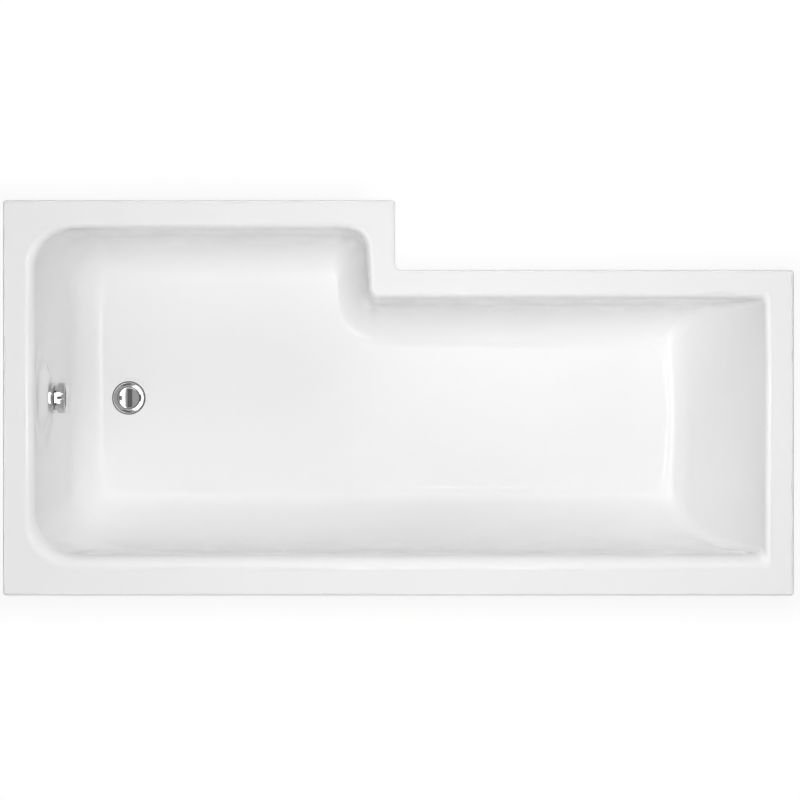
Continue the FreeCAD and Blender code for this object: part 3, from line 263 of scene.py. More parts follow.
def well_corners(z, back_off=0.0):
    """Corners of a level of the well; back_off moves them out onto the rim, or in if it is negative."""
    corners = []
    for x_side, y_side, rim_radius, foot_radius in CORNERS:
        x_inset = wall_inset(x_side, z)
        y_inset = wall_inset(y_side, z)
        progress = (x_inset + y_inset) / (wall_inset(x_side, FLOOR_Z) + wall_inset(y_side, FLOOR_Z))
        radius = rim_radius + (foot_radius - rim_radius) * progress
        x, x_in = EDGE[x_side]
        y, y_in = EDGE[y_side]
        slant = 0
        if x_side == "step":
            slant = STEP_SLANT if y_side == "front" else -STEP_SLANT
        corners.append((x + x_in * (FLAT_WIDTH[x_side] + x_inset - back_off) + slant,
                        y + y_in * (FLAT_WIDTH[y_side] + y_inset - back_off), max(radius, LEAST_RADIUS)))
    return corners


def between(first, second, share):
    """Corners part of the way from one outline to another."""
    return [[a + (b - a) * share for a, b in zip(*pair)] for pair in zip(first, second)]


def well_points(z, back_off=0.0):
    """A level of the well, with the backrest hollowed a little more towards its foot."""
    corners = well_corners(z, back_off)
    head_x, back_y, _ = corners[1]
    middle = (back_y + corners[2][1]) / 2
    points = outline_points(corners, z)
    for point in points:
        if point.x < head_x + LEAST_RADIUS:
            share = 1 - ((point.y - middle) / (back_y - middle)) ** 2
            point.x -= BACKREST_BOW * (RIM_Z - z) / DEPTH * max(0, share)
    return points


print(f"{len(well_points(FLOOR_Z))} points round each level")

# %% [markdown]
# ## The acrylic shell: from skirt to floor
# The levels are close together where the sheet curves: round the outer edge, over the inner roll and at the
# foot of the coves, where their heights grow with the square of their number, so that they lie evenly along
# the curve. Narrow flat strips beside the curves keep the shading of the rim and of the floor truly flat.

# %% Heights of the levels
EDGE_STEPS = 6
ROLL_STEPS = 14
FLAT_MARGIN = 2 * MM
FLAT_STEPS = 4
WALL_STEPS = 20
COVE_STEPS = 16
COVE_RISE = 0.35 * MM

edge_turns = [math.pi / 2 * i / EDGE_STEPS for i in range(EDGE_STEPS + 1)]
largest_roll = max(roll for roll, *_ in WALL.values())
roll_turns = [math.pi / 2 * i / ROLL_STEPS for i in range(ROLL_STEPS)]
roll_heights = [RIM_Z - largest_roll * (1 - math.cos(turn)) for turn in roll_turns]
cove_heights = [FLOOR_Z + COVE_RISE * i ** 2 for i in range(COVE_STEPS, -1, -1)]
wall_top = RIM_Z - largest_roll
wall_heights = [wall_top + (cove_heights[0] - wall_top) * i / WALL_STEPS for i in range(WALL_STEPS)]

levels = [outline_points(rim_corners(0), RIM_Z - OUTER_ROLL - FLAT_MARGIN)]
for turn in edge_turns:
    corners = rim_corners(OUTER_ROLL * (1 - math.cos(turn)))
    levels.append(outline_points(corners, RIM_Z - OUTER_ROLL * (1 - math.sin(turn))))
outer_flat = rim_corners(OUTER_ROLL + FLAT_MARGIN)
inner_flat = well_corners(RIM_Z, FLAT_MARGIN)
for i in range(FLAT_STEPS + 1):
    levels.append(outline_points(between(outer_flat, inner_flat, i / FLAT_STEPS), RIM_Z))
levels += [well_points(z) for z in roll_heights + wall_heights + cove_heights]
levels.append(well_points(FLOOR_Z, -FLAT_MARGIN))
print(f"{len(levels)} levels, {len(cove_heights)} of them at the foot of the coves")

# %% Draw the sheet down through the levels
shell = bmesh.new()
ring = [shell.verts.new(point) for point in outline_points(rim_corners(0), SKIRT_Z)]
for pair in pairs_round(ring):
    shell.edges.new(pair)
for points in levels:
    ring = draw_down(shell, ring, points)
print(f"{len(shell.faces)} faces from skirt to floor")

# %% [markdown]
# ## The acrylic shell: floor and waste hole
# The last level is flat, so the floor needs no shape of its own. A circle round the waste is drawn inside it,
# the space between the two loops is filled, and the circle is extruded inwards to the true round hole. The
# ring between them is kept bare of glass fibre later, because the waste is clamped there.

# %% Floor
WASTE = Vector((607, 0, 150)) * MM
WASTE_HOLE = 26 * MM
WASTE_CLEAR = 48 * MM
HOLE_STEPS = 48

circle = bmesh.ops.create_circle(shell, cap_ends=False, radius=WASTE_CLEAR, segments=HOLE_STEPS,
                                 matrix=Matrix.Translation(WASTE))
clear_edges = edges_at(circle["verts"])
floor_edges = [shell.edges.get(pair) for pair in pairs_round(ring)]
bmesh.ops.triangle_fill(shell, edges=floor_edges + clear_edges, use_beauty=True, normal=(0, 0, 1))
drawn_in = bmesh.ops.extrude_edge_only(shell, edges=clear_edges)["geom"]
bmesh.ops.scale(shell, vec=Vector((1, 1, 1)) * WASTE_HOLE / WASTE_CLEAR, space=Matrix.Translation(-WASTE),
                verts=verts_in(drawn_in))
bmesh.ops.recalc_face_normals(shell, faces=shell.faces)
print(f"{len(shell.faces)} faces with the floor")

# %% [markdown]
# ## The acrylic shell: the overflow's seat
# The waste-end wall slopes, but the overflow needs a flat seat, so the mould raises an oval pad there.
# The wall is cut finer around it, and each point is lifted to the pad or to its sloping flank, whichever
# stands further out. A soft maximum blends the two, as the stretched sheet does.

# %% Overflow seat
TILT = math.radians(4)
SEAT = Vector((762.449, 0, 445)) * MM
OUT = Vector((-math.cos(TILT), 0, math.sin(TILT)))
UP = Vector((math.sin(TILT), 0, math.cos(TILT)))
SEAT_RADIUS = 37 * MM
SEAT_OVAL = 0.8
SEAT_FLANK = 0.6
SEAT_SOFTNESS = 11 * MM
SEAT_REGION = 84 * MM
SEAT_CUTS = 4
OVERFLOW_HOLE = 26 * MM


def from_overflow(point, oval=1.0):
    """Distance of a point in front of the seat, and its distance from the overflow's axis."""
    offset = point - SEAT
    ahead = offset.dot(OUT)
    return ahead, math.hypot(offset.dot(UP), offset.y * oval)


def near_overflow(point, radius, oval=1.0):
    """Whether a point lies within a radius of the overflow's axis, near the seat."""
    ahead, across = from_overflow(point, oval)
    return abs(ahead) < SEAT_REGION / 2 and across < radius


fine = [e for e in shell.edges if all(near_overflow(v.co, SEAT_REGION, SEAT_OVAL) for v in e.verts)]
bmesh.ops.subdivide_edges(shell, edges=fine, cuts=SEAT_CUTS, use_grid_fill=True)
for vert in shell.verts:
    if near_overflow(vert.co, SEAT_REGION, SEAT_OVAL):
        ahead, across = from_overflow(vert.co, SEAT_OVAL)
        pad = min(0, SEAT_RADIUS - across) * SEAT_FLANK
        lifted = (ahead + pad + math.hypot(ahead - pad, SEAT_SOFTNESS)) / 2
        vert.co += OUT * (lifted - ahead)
drilled = [f for f in shell.faces if near_overflow(f.calc_center_median(), OVERFLOW_HOLE)]
hole_rim = {v for f in drilled for v in f.verts}
bmesh.ops.delete(shell, geom=drilled, context="FACES")
for vert in hole_rim:
    if vert.is_valid:
        ahead, across = from_overflow(vert.co)
        axis_point = SEAT + OUT * ahead
        vert.co = axis_point + (vert.co - axis_point) * (OVERFLOW_HOLE / across)
print(f"seat cut into {len(fine)} edges, {len(drilled)} faces drilled out")

# %% [markdown]
# ## The glass-fibre backing
# Resin and chopped fibre are sprayed on the back of the shell, so the backing follows it and ends a little
# below the rim and short of the fittings. A copy of the well's surface is cut back to where the spray ends,
# pushed past the acrylic and given its own thickness. Its rough skin is left to the finish.

# %% Backing
BACKING = 3.5 * MM
BOND = 0.3 * MM
BACKING_TOP = RIM_Z - 26 * MM
OVERFLOW_CLEAR = 50 * MM


def sprayed(face):
    """Whether the fibre covers this face of the shell: not the skirt, the rim or round the fittings."""
    middle = face.calc_center_median()
    round_fittings = near_overflow(middle, OVERFLOW_CLEAR) or (middle - WASTE).length < WASTE_CLEAR
    return middle.z < BACKING_TOP and not round_fittings


backing = shell.copy()
bmesh.ops.delete(backing, geom=[f for f in backing.faces if not sprayed(f)], context="FACES")
backing.normal_update()
for vert in backing.verts:
    vert.co -= vert.normal * (ACRYLIC + BOND)
bmesh.ops.solidify(backing, geom=backing.faces[:], thickness=BACKING)
backing.normal_update()
print(f"backing: {len(backing.faces)} faces, low point {min(v.co.z for v in backing.verts) / MM:.1f} mm")

# %% [markdown]
# ## Thickness
# The sheet is solidified last, so that its edges stay square. Only the overflow's pad is thicker: its front
# is moved out once more, and fades back to the wall.

# %% Thickness of the acrylic
PAD_EXTRA = 4 * MM
PAD_FADE = 28 * MM

bmesh.ops.solidify(shell, geom=shell.faces[:], thickness=ACRYLIC)
shell.normal_update()
for vert in shell.verts:
    if near_overflow(vert.co, SEAT_RADIUS + PAD_FADE, SEAT_OVAL) and vert.normal.dot(OUT) > 0:
        ahead, across = from_overflow(vert.co, SEAT_OVAL)
        share = min(1, (SEAT_RADIUS + PAD_FADE - across) / PAD_FADE)
        vert.co += OUT * PAD_EXTRA * share ** 2 * (3 - 2 * share)
shell_low = [min(v.co[i] for v in shell.verts) / MM for i in range(3)]
shell_high = [max(v.co[i] for v in shell.verts) / MM for i in range(3)]
print("shell from", [round(v, 2) for v in shell_low], "to", [round(v, 2) for v in shell_high])
hand_over("acrylic_shell", shell, "bath", "acrylic", "bath_shell", normals=False)
hand_over("fibre_backing", backing, "bath", "glass_fibre", "glass_fibre_backing", normals=False)

# %% [markdown]
# ## Turned fittings
# The overflow, the waste, the plug and the feet are all round, so each is a closed profile spun once about
# its own axis. A profile point may carry a rounding, which a vertex bevel makes before the spin: turned and
# plated metal never has a knife edge, and the small roundings catch the light.

# %% A lathe
TURN_STEPS = 96
ROUND_STEPS = 4
TINY = 0.001 * MM


def turned(profile, steps=TURN_STEPS):
    """Spin a closed profile of radius, height and rounding, all in millimetres, round the Z axis."""
    bm = bmesh.new()
    verts = [bm.verts.new((radius * MM, 0, height * MM)) for radius, height, _ in profile]
    bm.faces.new(verts)
    for vert, (_, _, rounding) in zip(verts, profile):
        if rounding:
            round_off(bm, [vert], rounding * MM, ROUND_STEPS)
    bmesh.ops.delete(bm, geom=bm.faces[:], context="FACES_ONLY")
    on_axis = [edge for edge in bm.edges if all(vert.co.x < TINY for vert in edge.verts)]
    bmesh.ops.delete(bm, geom=on_axis, context="EDGES")
    spin_round(bm, bm.verts[:] + bm.edges[:], steps)
    return bm


def spin_round(bm, geom, steps=TURN_STEPS):
    """A full spin about Z, closed at its seam and at its poles."""
    bmesh.ops.spin(bm, geom=geom, cent=(0, 0, 0), axis=(0, 0, 1), angle=2 * math.pi, steps=steps,
                   use_merge=True)
    bmesh.ops.remove_doubles(bm, verts=bm.verts[:], dist=TINY)
    bmesh.ops.recalc_face_normals(bm, faces=bm.faces[:])


def placed(bm, matrix):
    """The same bmesh, moved to where a matrix puts it."""
    bmesh.ops.transform(bm, matrix=matrix, verts=bm.verts[:])
    return bm


print(f"{TURN_STEPS} steps to a full turn")

# %% [markdown]
# ## Overflow flange
# A heavy chrome ring sits on the seat, tapers forward, and carries the knob on six short posts. The gaps
# between the posts are the real overflow: water runs in behind the knob. The ring is a lathe profile, and
# each post is a small rectangle spun through part of a turn.

# %% Overflow flange
SEAT_AXES = Matrix((UP, OUT.cross(UP), OUT)).transposed().to_4x4()
OVERFLOW_FRAME = Matrix.Translation(SEAT + OUT * PAD_EXTRA) @ SEAT_AXES
# radii and heights of the turned fittings are in millimetres
FITTING_RADIUS = 33.5
NECK_BORE = 21.5
NECK_RADIUS = 24.5
NECK_END = -28
TAPER_START = 10
TAPER_END = 14.6
TAPER_RADIUS = 27.6
POSTS = 6
POST_INNER = 23.7
POST_OUTER = 26.7
POST_END = 19.2
POST_TURN = math.radians(48)
POST_STEPS = 6
POST_CORNERS = ((POST_INNER, TAPER_END), (POST_OUTER, TAPER_END),
                (POST_OUTER, POST_END), (POST_INNER, POST_END))

overflow_flange = turned(((NECK_BORE, NECK_END, 0), (NECK_RADIUS, NECK_END, 0), (NECK_RADIUS, 0, 0),
                          (FITTING_RADIUS, 0, 0.5), (FITTING_RADIUS, TAPER_START, 0.8),
                          (TAPER_RADIUS, TAPER_END, 0.6), (NECK_BORE, TAPER_END, 0)))
for i in range(POSTS):
    verts = [overflow_flange.verts.new((radius * MM, 0, height * MM)) for radius, height in POST_CORNERS]
    post = overflow_flange.faces.new(verts)
    middle = 2 * math.pi * i / POSTS
    to_start = Matrix.Rotation(middle - POST_TURN / 2, 3, "Z")
    bmesh.ops.rotate(overflow_flange, cent=(0, 0, 0), matrix=to_start, verts=post.verts[:])
    bmesh.ops.spin(overflow_flange, geom=[post], cent=(0, 0, 0), axis=(0, 0, 1), angle=POST_TURN,
                   steps=POST_STEPS)
hand_over("overflow_ring", placed(overflow_flange, OVERFLOW_FRAME), "bath", "chrome", "overflow_flange")

# %% [markdown]
# ## Overflow knob
# Turning the knob works the plug. It is one thick disc with a rounded front edge, and a scoop along its top
# shows which way it is turned. The scoop gets deeper towards the front, so it is the cut of a tilted
# cylinder. A Boolean makes that cut, and its result is read back as a plain mesh.

# %% Overflow knob
KNOB_BACK = 19.5
KNOB_FRONT = 37
KNOB_ROUNDING = 4.6
SPINDLE_BORE = 4
SPINDLE_END = 27.5
SCOOP_RADIUS = 7 * MM
SCOOP_SLOPE = math.radians(10)
SCOOP_START = 20.3 * MM
SCOOP_LENGTH = 80 * MM


def cut_away(bm, tool):
    """The first bmesh with the second cut out of it."""
    blank = as_object("cut_blank", bm)
    cutter = as_object("cut_tool", tool)
    boolean = blank.modifiers.new("cut", "BOOLEAN")
    boolean.object = cutter
    result = bmesh.new()
    result.from_object(blank, bpy.context.evaluated_depsgraph_get())
    for spent in (blank, cutter):
        bpy.data.meshes.remove(spent.data)
    return result


knob = turned(((SPINDLE_BORE, KNOB_BACK, 0), (FITTING_RADIUS, KNOB_BACK, 0.6),
               (FITTING_RADIUS, KNOB_FRONT, KNOB_ROUNDING), (0, KNOB_FRONT, 0),
               (0, SPINDLE_END, 0), (SPINDLE_BORE, SPINDLE_END, 0)), steps=2 * TURN_STEPS)
scoop = bmesh.new()
bmesh.ops.create_cone(scoop, cap_ends=True, segments=TURN_STEPS, radius1=SCOOP_RADIUS,
                      radius2=SCOOP_RADIUS, depth=SCOOP_LENGTH)
scoop_up = FITTING_RADIUS * MM + SCOOP_RADIUS / math.cos(SCOOP_SLOPE)
placed(scoop, Matrix.Translation((scoop_up, 0, SCOOP_START)) @ Matrix.Rotation(-SCOOP_SLOPE, 4, "Y")
       @ Matrix.Translation((0, 0, SCOOP_LENGTH / 2)))
hand_over("overflow_knob_scooped", placed(cut_away(knob, scoop), OVERFLOW_FRAME), "knob", "chrome",
          "overflow_knob")

# %% [markdown]
# ## Waste flange and plug
# The flange clamps the floor between two gaskets; its face falls a little towards the mouth so that the
# last water finds its way in. The plug is a shallow dome on a stem: one point spun about the dome's far
# centre gives the curve, and the curve is spun about the stem.

# %% Waste flange
WASTE_FRAME = Matrix.Translation(WASTE)
TAIL_BORE = 21.5
TAIL_RADIUS = 24.5
TAIL_END = -26
GASKET_THICKNESS = 1
FLANGE_RADIUS = 35.6
FLANGE_EDGE = 2.4
FLANGE_TOP = 4.2
FACE_OUTER = 33.8
FACE_LOW = 2.65
MOUTH = 25.3
MOUTH_LIP = 0.8
MOUTH_TOP = 2.2
SEAT_LEVEL = 1.8
SEAT_BORE = 19.5
SEAT_THICKNESS = 3

waste_flange = turned(((TAIL_BORE, TAIL_END, 0), (TAIL_RADIUS, TAIL_END, 0),
                       (TAIL_RADIUS, GASKET_THICKNESS, 0), (FLANGE_RADIUS, GASKET_THICKNESS, 0),
                       (FLANGE_RADIUS, FLANGE_EDGE, 0.8), (FACE_OUTER, FLANGE_TOP, 0.9),
                       (MOUTH + MOUTH_LIP, FACE_LOW, 0.3), (MOUTH, MOUTH_TOP, 0.2),
                       (MOUTH, SEAT_LEVEL, 0), (SEAT_BORE, SEAT_LEVEL, 0),
                       (SEAT_BORE, SEAT_LEVEL - SEAT_THICKNESS, 0),
                       (TAIL_BORE, SEAT_LEVEL - 2 * SEAT_THICKNESS, 0)))
print(f"waste flange: {len(waste_flange.faces)} faces before its guide")

# %% The guide for the plug's stem, on three arms
GUIDE_RADIUS = 7.5 * MM
GUIDE_LENGTH = 12 * MM
GUIDE_MIDDLE = -20 * MM
ARMS = 3
ARM_SIZE = Matrix.Diagonal((16 * MM, 3 * MM, 6 * MM, 1))
ARM_PLACE = Matrix.Translation((14 * MM, 0, GUIDE_MIDDLE + 3 * MM))

bmesh.ops.create_cone(waste_flange, cap_ends=False, segments=TURN_STEPS // 2, radius1=GUIDE_RADIUS,
                      radius2=GUIDE_RADIUS, depth=GUIDE_LENGTH,
                      matrix=Matrix.Translation((0, 0, GUIDE_MIDDLE)))
for i in range(ARMS):
    turn = Matrix.Rotation(2 * math.pi * i / ARMS, 4, "Z")
    bmesh.ops.create_cube(waste_flange, size=1, matrix=turn @ ARM_PLACE @ ARM_SIZE)
hand_over("waste_ring", placed(waste_flange, WASTE_FRAME), "bath", "chrome", "waste_flange")

# %% The gasket under the flange; its black rim past the flange is painted contact shadow
GASKET_BORE = 26
# The gasket is real, but it reaches 2 mm past the flange, and that black rim is painted contact shadow round
# the flange.
GASKET_SHADE_RADIUS = 37.6

gasket = turned(((GASKET_BORE, 0, 0), (GASKET_SHADE_RADIUS, 0, 0), (GASKET_SHADE_RADIUS, GASKET_THICKNESS, 0.4),
                 (GASKET_BORE, GASKET_THICKNESS, 0)))
hand_over("gasket_and_contact_shade", placed(gasket, WASTE_FRAME), "bath", "rubber", "waste_upper_gasket")

# %% Plug
PLUG_RADIUS = 23.6
PLUG_TOP = 6.9
PLUG_BOTTOM = 3.5
DOME_RADIUS = 120
DOME_STEPS = 14
STEM_RADIUS = 4
STEM_END = -36.5
STEM = ((PLUG_RADIUS, PLUG_BOTTOM), (STEM_RADIUS, PLUG_BOTTOM), (STEM_RADIUS, STEM_END), (0, STEM_END))
PLUG_ROUNDING = 0.4 * MM
PLUG_ROUND_STEPS = 3

plug = bmesh.new()
crown = plug.verts.new((0, 0, PLUG_TOP * MM))
dome_turn = math.asin(PLUG_RADIUS / DOME_RADIUS)
bmesh.ops.spin(plug, geom=[crown], cent=(0, 0, (PLUG_TOP - DOME_RADIUS) * MM), axis=(0, 1, 0),
               angle=dome_turn, steps=DOME_STEPS)
last = max(plug.verts, key=lambda vert: vert.co.x)
for radius, height in STEM:
    lower = plug.verts.new((radius * MM, 0, height * MM))
    plug.edges.new((last, lower))
    last = lower
spin_round(plug, plug.verts[:] + plug.edges[:])
rim = [edge for edge in plug.edges if edge.calc_face_angle(0) > SHARP_ANGLE
       and edge.verts[0].co.z > PLUG_BOTTOM * MM + TINY]
round_off(plug, rim, PLUG_ROUNDING, PLUG_ROUND_STEPS, affect="EDGES")
hand_over("plug_domed", placed(plug, WASTE_FRAME), "plug", "chrome", "waste_plug")

# %% [markdown]
# ## The ribbed hose
# Water from the overflow runs down a corrugated hose to the waste. Its ribs are rings, so the hose is turned
# as one long straight piece, bore included, and then bent: rings past the bend's start are swung about the
# bend's centre, and those past its end follow as a straight run. The plain cuffs stay smooth under the clips.

# %% Ribbed hose
HOSE_X = 794.37 * MM
HOSE_TOP = 407 * MM
HOSE_END_X = 645 * MM
HOSE_END_Z = 114 * MM
HOSE_BEND = 60 * MM
HOSE_BORE = 16.2
HOSE_VALLEY = 18.8
HOSE_CREST = 20.4
CUFF = 48
RIB_PITCH = 7
RIB_FLANK = 1.4
RIB_CREST = 2.1
VALLEY_ROUNDING = 0.4
CREST_ROUNDING = 0.5
HOSE_STEPS = 40

down_run = HOSE_TOP - HOSE_END_Z - HOSE_BEND
bend_run = HOSE_BEND * math.pi / 2
hose_length = down_run + bend_run + HOSE_X - HOSE_BEND - HOSE_END_X
ribbed = hose_length / MM - 2 * CUFF
ribs = round(ribbed / RIB_PITCH)
pitch = ribbed / ribs
profile = [(HOSE_BORE, 0, 0), (HOSE_VALLEY, 0, 0), (HOSE_VALLEY, CUFF / 2, 0)]
for i in range(ribs):
    start = CUFF + pitch * i + (pitch - RIB_CREST - 2 * RIB_FLANK) / 2
    profile += [(HOSE_VALLEY, start, VALLEY_ROUNDING), (HOSE_CREST, start + RIB_FLANK, CREST_ROUNDING),
                (HOSE_CREST, start + RIB_FLANK + RIB_CREST, CREST_ROUNDING),
                (HOSE_VALLEY, start + 2 * RIB_FLANK + RIB_CREST, VALLEY_ROUNDING)]
profile += [(HOSE_VALLEY, CUFF * 1.5 + ribbed, 0), (HOSE_VALLEY, hose_length / MM, 0),
            (HOSE_BORE, hose_length / MM, 0)]
profile += [(HOSE_BORE, CUFF + pitch * i, 0) for i in range(ribs, -1, -1)]
hose = turned(profile, steps=HOSE_STEPS)

to_centre = Matrix.Translation((-HOSE_BEND, 0, down_run))
for vert in hose.verts:
    past = min(vert.co.z - down_run, bend_run)
    if past > 0:
        swing = Matrix.Rotation(-past / HOSE_BEND, 4, "Y")
        vert.co = to_centre @ swing @ to_centre.inverted() @ (vert.co - Vector((0, 0, past)))
placed(hose, Matrix.Translation((HOSE_X, 0, HOSE_TOP)) @ Matrix.Diagonal((1, 1, -1, 1)))
hand_over("ribbed_hose", hose, "bath", "hose_plastic", "overflow_hose")
print(f"hose {hose_length / MM:.0f} mm long with {ribs} ribs")

# %% [markdown]
# ## The cable sheath
# A black sheath guides the wire from the knob's drum to the lifter. It runs straight out of the cover,
# leans a little, and turns along the floor. Extruding a circle makes the straight runs and spinning it
# makes the bends, which is just how a tube is bent over a former.

# %% Cable sheath
SHEATH_RADIUS = 2.5 * MM
SHEATH_BEND = 80 * MM
SHEATH_ROUTE = [Vector(point) * MM for point in ((818.31, 5.79, 417.09), (818.31, 5.79, 383.09),
                                                 (818.31, 31.5, 95.1), (627, 31.5, 95.1))]
BEND_STEPS = 20
SHEATH_STEPS = 16

sheath = bmesh.new()
circle = bmesh.ops.create_circle(sheath, cap_ends=True, radius=SHEATH_RADIUS, segments=SHEATH_STEPS,
                                 matrix=Matrix.Translation(SHEATH_ROUTE[0]))
ring = edges_at(circle["verts"])
at = SHEATH_ROUTE[0]
for i in range(1, len(SHEATH_ROUTE)):
    corner = SHEATH_ROUTE[i]
    heading = (corner - SHEATH_ROUTE[i - 1]).normalized()
    bends = i + 1 < len(SHEATH_ROUTE)
    leaving = (SHEATH_ROUTE[i + 1] - corner).normalized() if bends else heading
    turn = heading.angle(leaving)
    start = corner - heading * SHEATH_BEND * math.tan(turn / 2)
    grown = bmesh.ops.extrude_edge_only(sheath, edges=ring)["geom"]
    bmesh.ops.translate(sheath, vec=start - at, verts=verts_in(grown))
    ring = [edge for edge in edges_in(grown) if len(edge.link_faces) == 1]
    at = start
    if bends:
        axis = heading.cross(leaving).normalized()
        middle = at + axis.cross(heading) * SHEATH_BEND
        swept = bmesh.ops.spin(sheath, geom=ring, cent=middle, axis=axis, angle=turn, steps=BEND_STEPS)
        ring = edges_in(swept["geom_last"])
        at = corner + leaving * SHEATH_BEND * math.tan(turn / 2)
bmesh.ops.edgenet_fill(sheath, edges=ring)
hand_over("sheath_bent", sheath, "bath", "cable_black", "cable_sheath")

# %% [markdown]
# ## The feet
# Each foot is a threaded rod in a plastic pad. The thread is a real helix: one notch of its outline is spun
# while it climbs, and the ends are sawn off flat. Two lock nuts hold every rod to its bar or bracket.

# %% Threaded rods and pads
FEET = ("waste_back", "waste_front", "head_back", "head_front", "centre")
ROD_RADIUS = 5 * MM
THREAD_DEPTH = 0.8 * MM
THREAD_PITCH = 1.5 * MM
THREAD_STEPS = 16
# turns of thread to spare at each end, which are sawn off
SPARE_TURNS = 2
# radius, height and rounding of each point of the pad's profile
PAD = ((0, 0, 0), (26, 0, 1), (26, 5, 1.5), (12, 10, 3), (9, 18, 1), (5, 18, 0), (5, 8, 0), (0, 8, 0))


def threaded_rod(length):
    """One turn of a helix, doubled until it is longer than the rod, with both ends sawn off."""
    rod = bmesh.new()
    root = ROD_RADIUS - THREAD_DEPTH
    notch = ((root, 0), (ROD_RADIUS, THREAD_PITCH / 2), (root, THREAD_PITCH))
    verts = [rod.verts.new((radius, 0, height - SPARE_TURNS * THREAD_PITCH)) for radius, height in notch]
    edges = [rod.edges.new(pair) for pair in zip(verts, verts[1:])]
    bmesh.ops.spin(rod, geom=verts + edges, cent=(0, 0, 0), axis=(0, 0, 1), angle=2 * math.pi,
                   dvec=(0, 0, THREAD_PITCH / THREAD_STEPS), steps=THREAD_STEPS)
    climb = THREAD_PITCH
    while climb < length + 2 * SPARE_TURNS * THREAD_PITCH:
        copy = bmesh.ops.duplicate(rod, geom=rod.verts[:] + rod.edges[:] + rod.faces[:])["geom"]
        bmesh.ops.translate(rod, vec=(0, 0, climb), verts=verts_in(copy))
        climb *= 2
    bmesh.ops.remove_doubles(rod, verts=rod.verts[:], dist=TINY)
    for height, direction in ((0, -1), (length, 1)):
        sawn = bmesh.ops.bisect_plane(rod, geom=rod.verts[:] + rod.edges[:] + rod.faces[:],
                                      plane_co=(0, 0, height), plane_no=(0, 0, direction), clear_outer=True)
        bmesh.ops.edgenet_fill(rod, edges=edges_in(sawn["geom_cut"]))
    return rod


foot_axes = {}
for place in FEET:
    low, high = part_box(f"foot_rod_{place}")
    foot_axes[place] = Vector(((low[0] + high[0]) / 2, (low[1] + high[1]) / 2, 0))
    rod_foot = foot_axes[place] + Vector((0, 0, low[2]))
    rod = placed(threaded_rod(high[2] - low[2]), Matrix.Translation(rod_foot))
    hand_over(f"threaded_rod_{place}", rod, f"foot_{place}", "zinc_plate", f"foot_rod_{place}")
    pad = placed(turned(PAD, steps=TURN_STEPS // 2), Matrix.Translation(foot_axes[place]))
    hand_over(f"moulded_pad_{place}", pad, f"foot_{place}", "foot_plastic", f"foot_pad_{place}")

# %% Lock nuts
NUT_RADIUS = 9.8 * MM
NUT_SIDES = 6
NUT_BORE = 5.3 * MM
NUT_BORE_STEPS = 24
NUT_HEIGHT = 8 * MM
NUT_ROUNDING = 0.7 * MM
NUT_ROUND_STEPS = 2
BAR_THICKNESS = 2.5 * MM
BOARD_BOTTOM = 123.2 * MM
BRACKET_DROP = 40 * MM

nuts = bmesh.new()
for place, axis in foot_axes.items():
    seat = BOARD_BOTTOM - (BRACKET_DROP if place == "centre" else BAR_THICKNESS)
    for low in (seat + BAR_THICKNESS, seat - NUT_HEIGHT):
        nut = bmesh.new()
        for radius, steps in ((NUT_RADIUS, NUT_SIDES), (NUT_BORE, NUT_BORE_STEPS)):
            bmesh.ops.create_circle(nut, cap_ends=False, radius=radius, segments=steps)
        bmesh.ops.triangle_fill(nut, edges=nut.edges[:], use_beauty=True, normal=(0, 0, 1))
        top = bmesh.ops.extrude_face_region(nut, geom=nut.faces[:], use_keep_orig=True)["geom"]
        bmesh.ops.translate(nut, vec=(0, 0, NUT_HEIGHT), verts=verts_in(top))
        corners = [e for e in nut.edges if e.calc_face_angle(0) > SHARP_ANGLE
                   and all(v.co.xy.length > NUT_RADIUS - TINY for v in e.verts)]
        round_off(nut, corners, NUT_ROUNDING, NUT_ROUND_STEPS, affect="EDGES")
        bmesh.ops.recalc_face_normals(nut, faces=nut.faces[:])
        placed(nut, Matrix.Translation(axis + Vector((0, 0, low))))
        finished_nut = bpy.data.meshes.new("lock_nut")
        nut.to_mesh(finished_nut)
        nut.free()
        nuts.from_mesh(finished_nut)
        bpy.data.meshes.remove(finished_nut)
hand_over("lock_nuts", nuts, "bath", "zinc_plate", "foot_lock_nuts")

# %% [markdown]
# ## Finishes
# Every finish is a Principled shader whose colour, roughness and bump come from a pattern in the object's
# own space. Most differ only in the size of the pattern and in how far it goes, so one helper makes them.

# %% A helper for mottled finishes
BUMP_HEIGHT = 1 * MM
record_colour = {entry["slot"]: entry["base_color"][:3] for entry in frame["record"]["materials"]}
finishes = {}


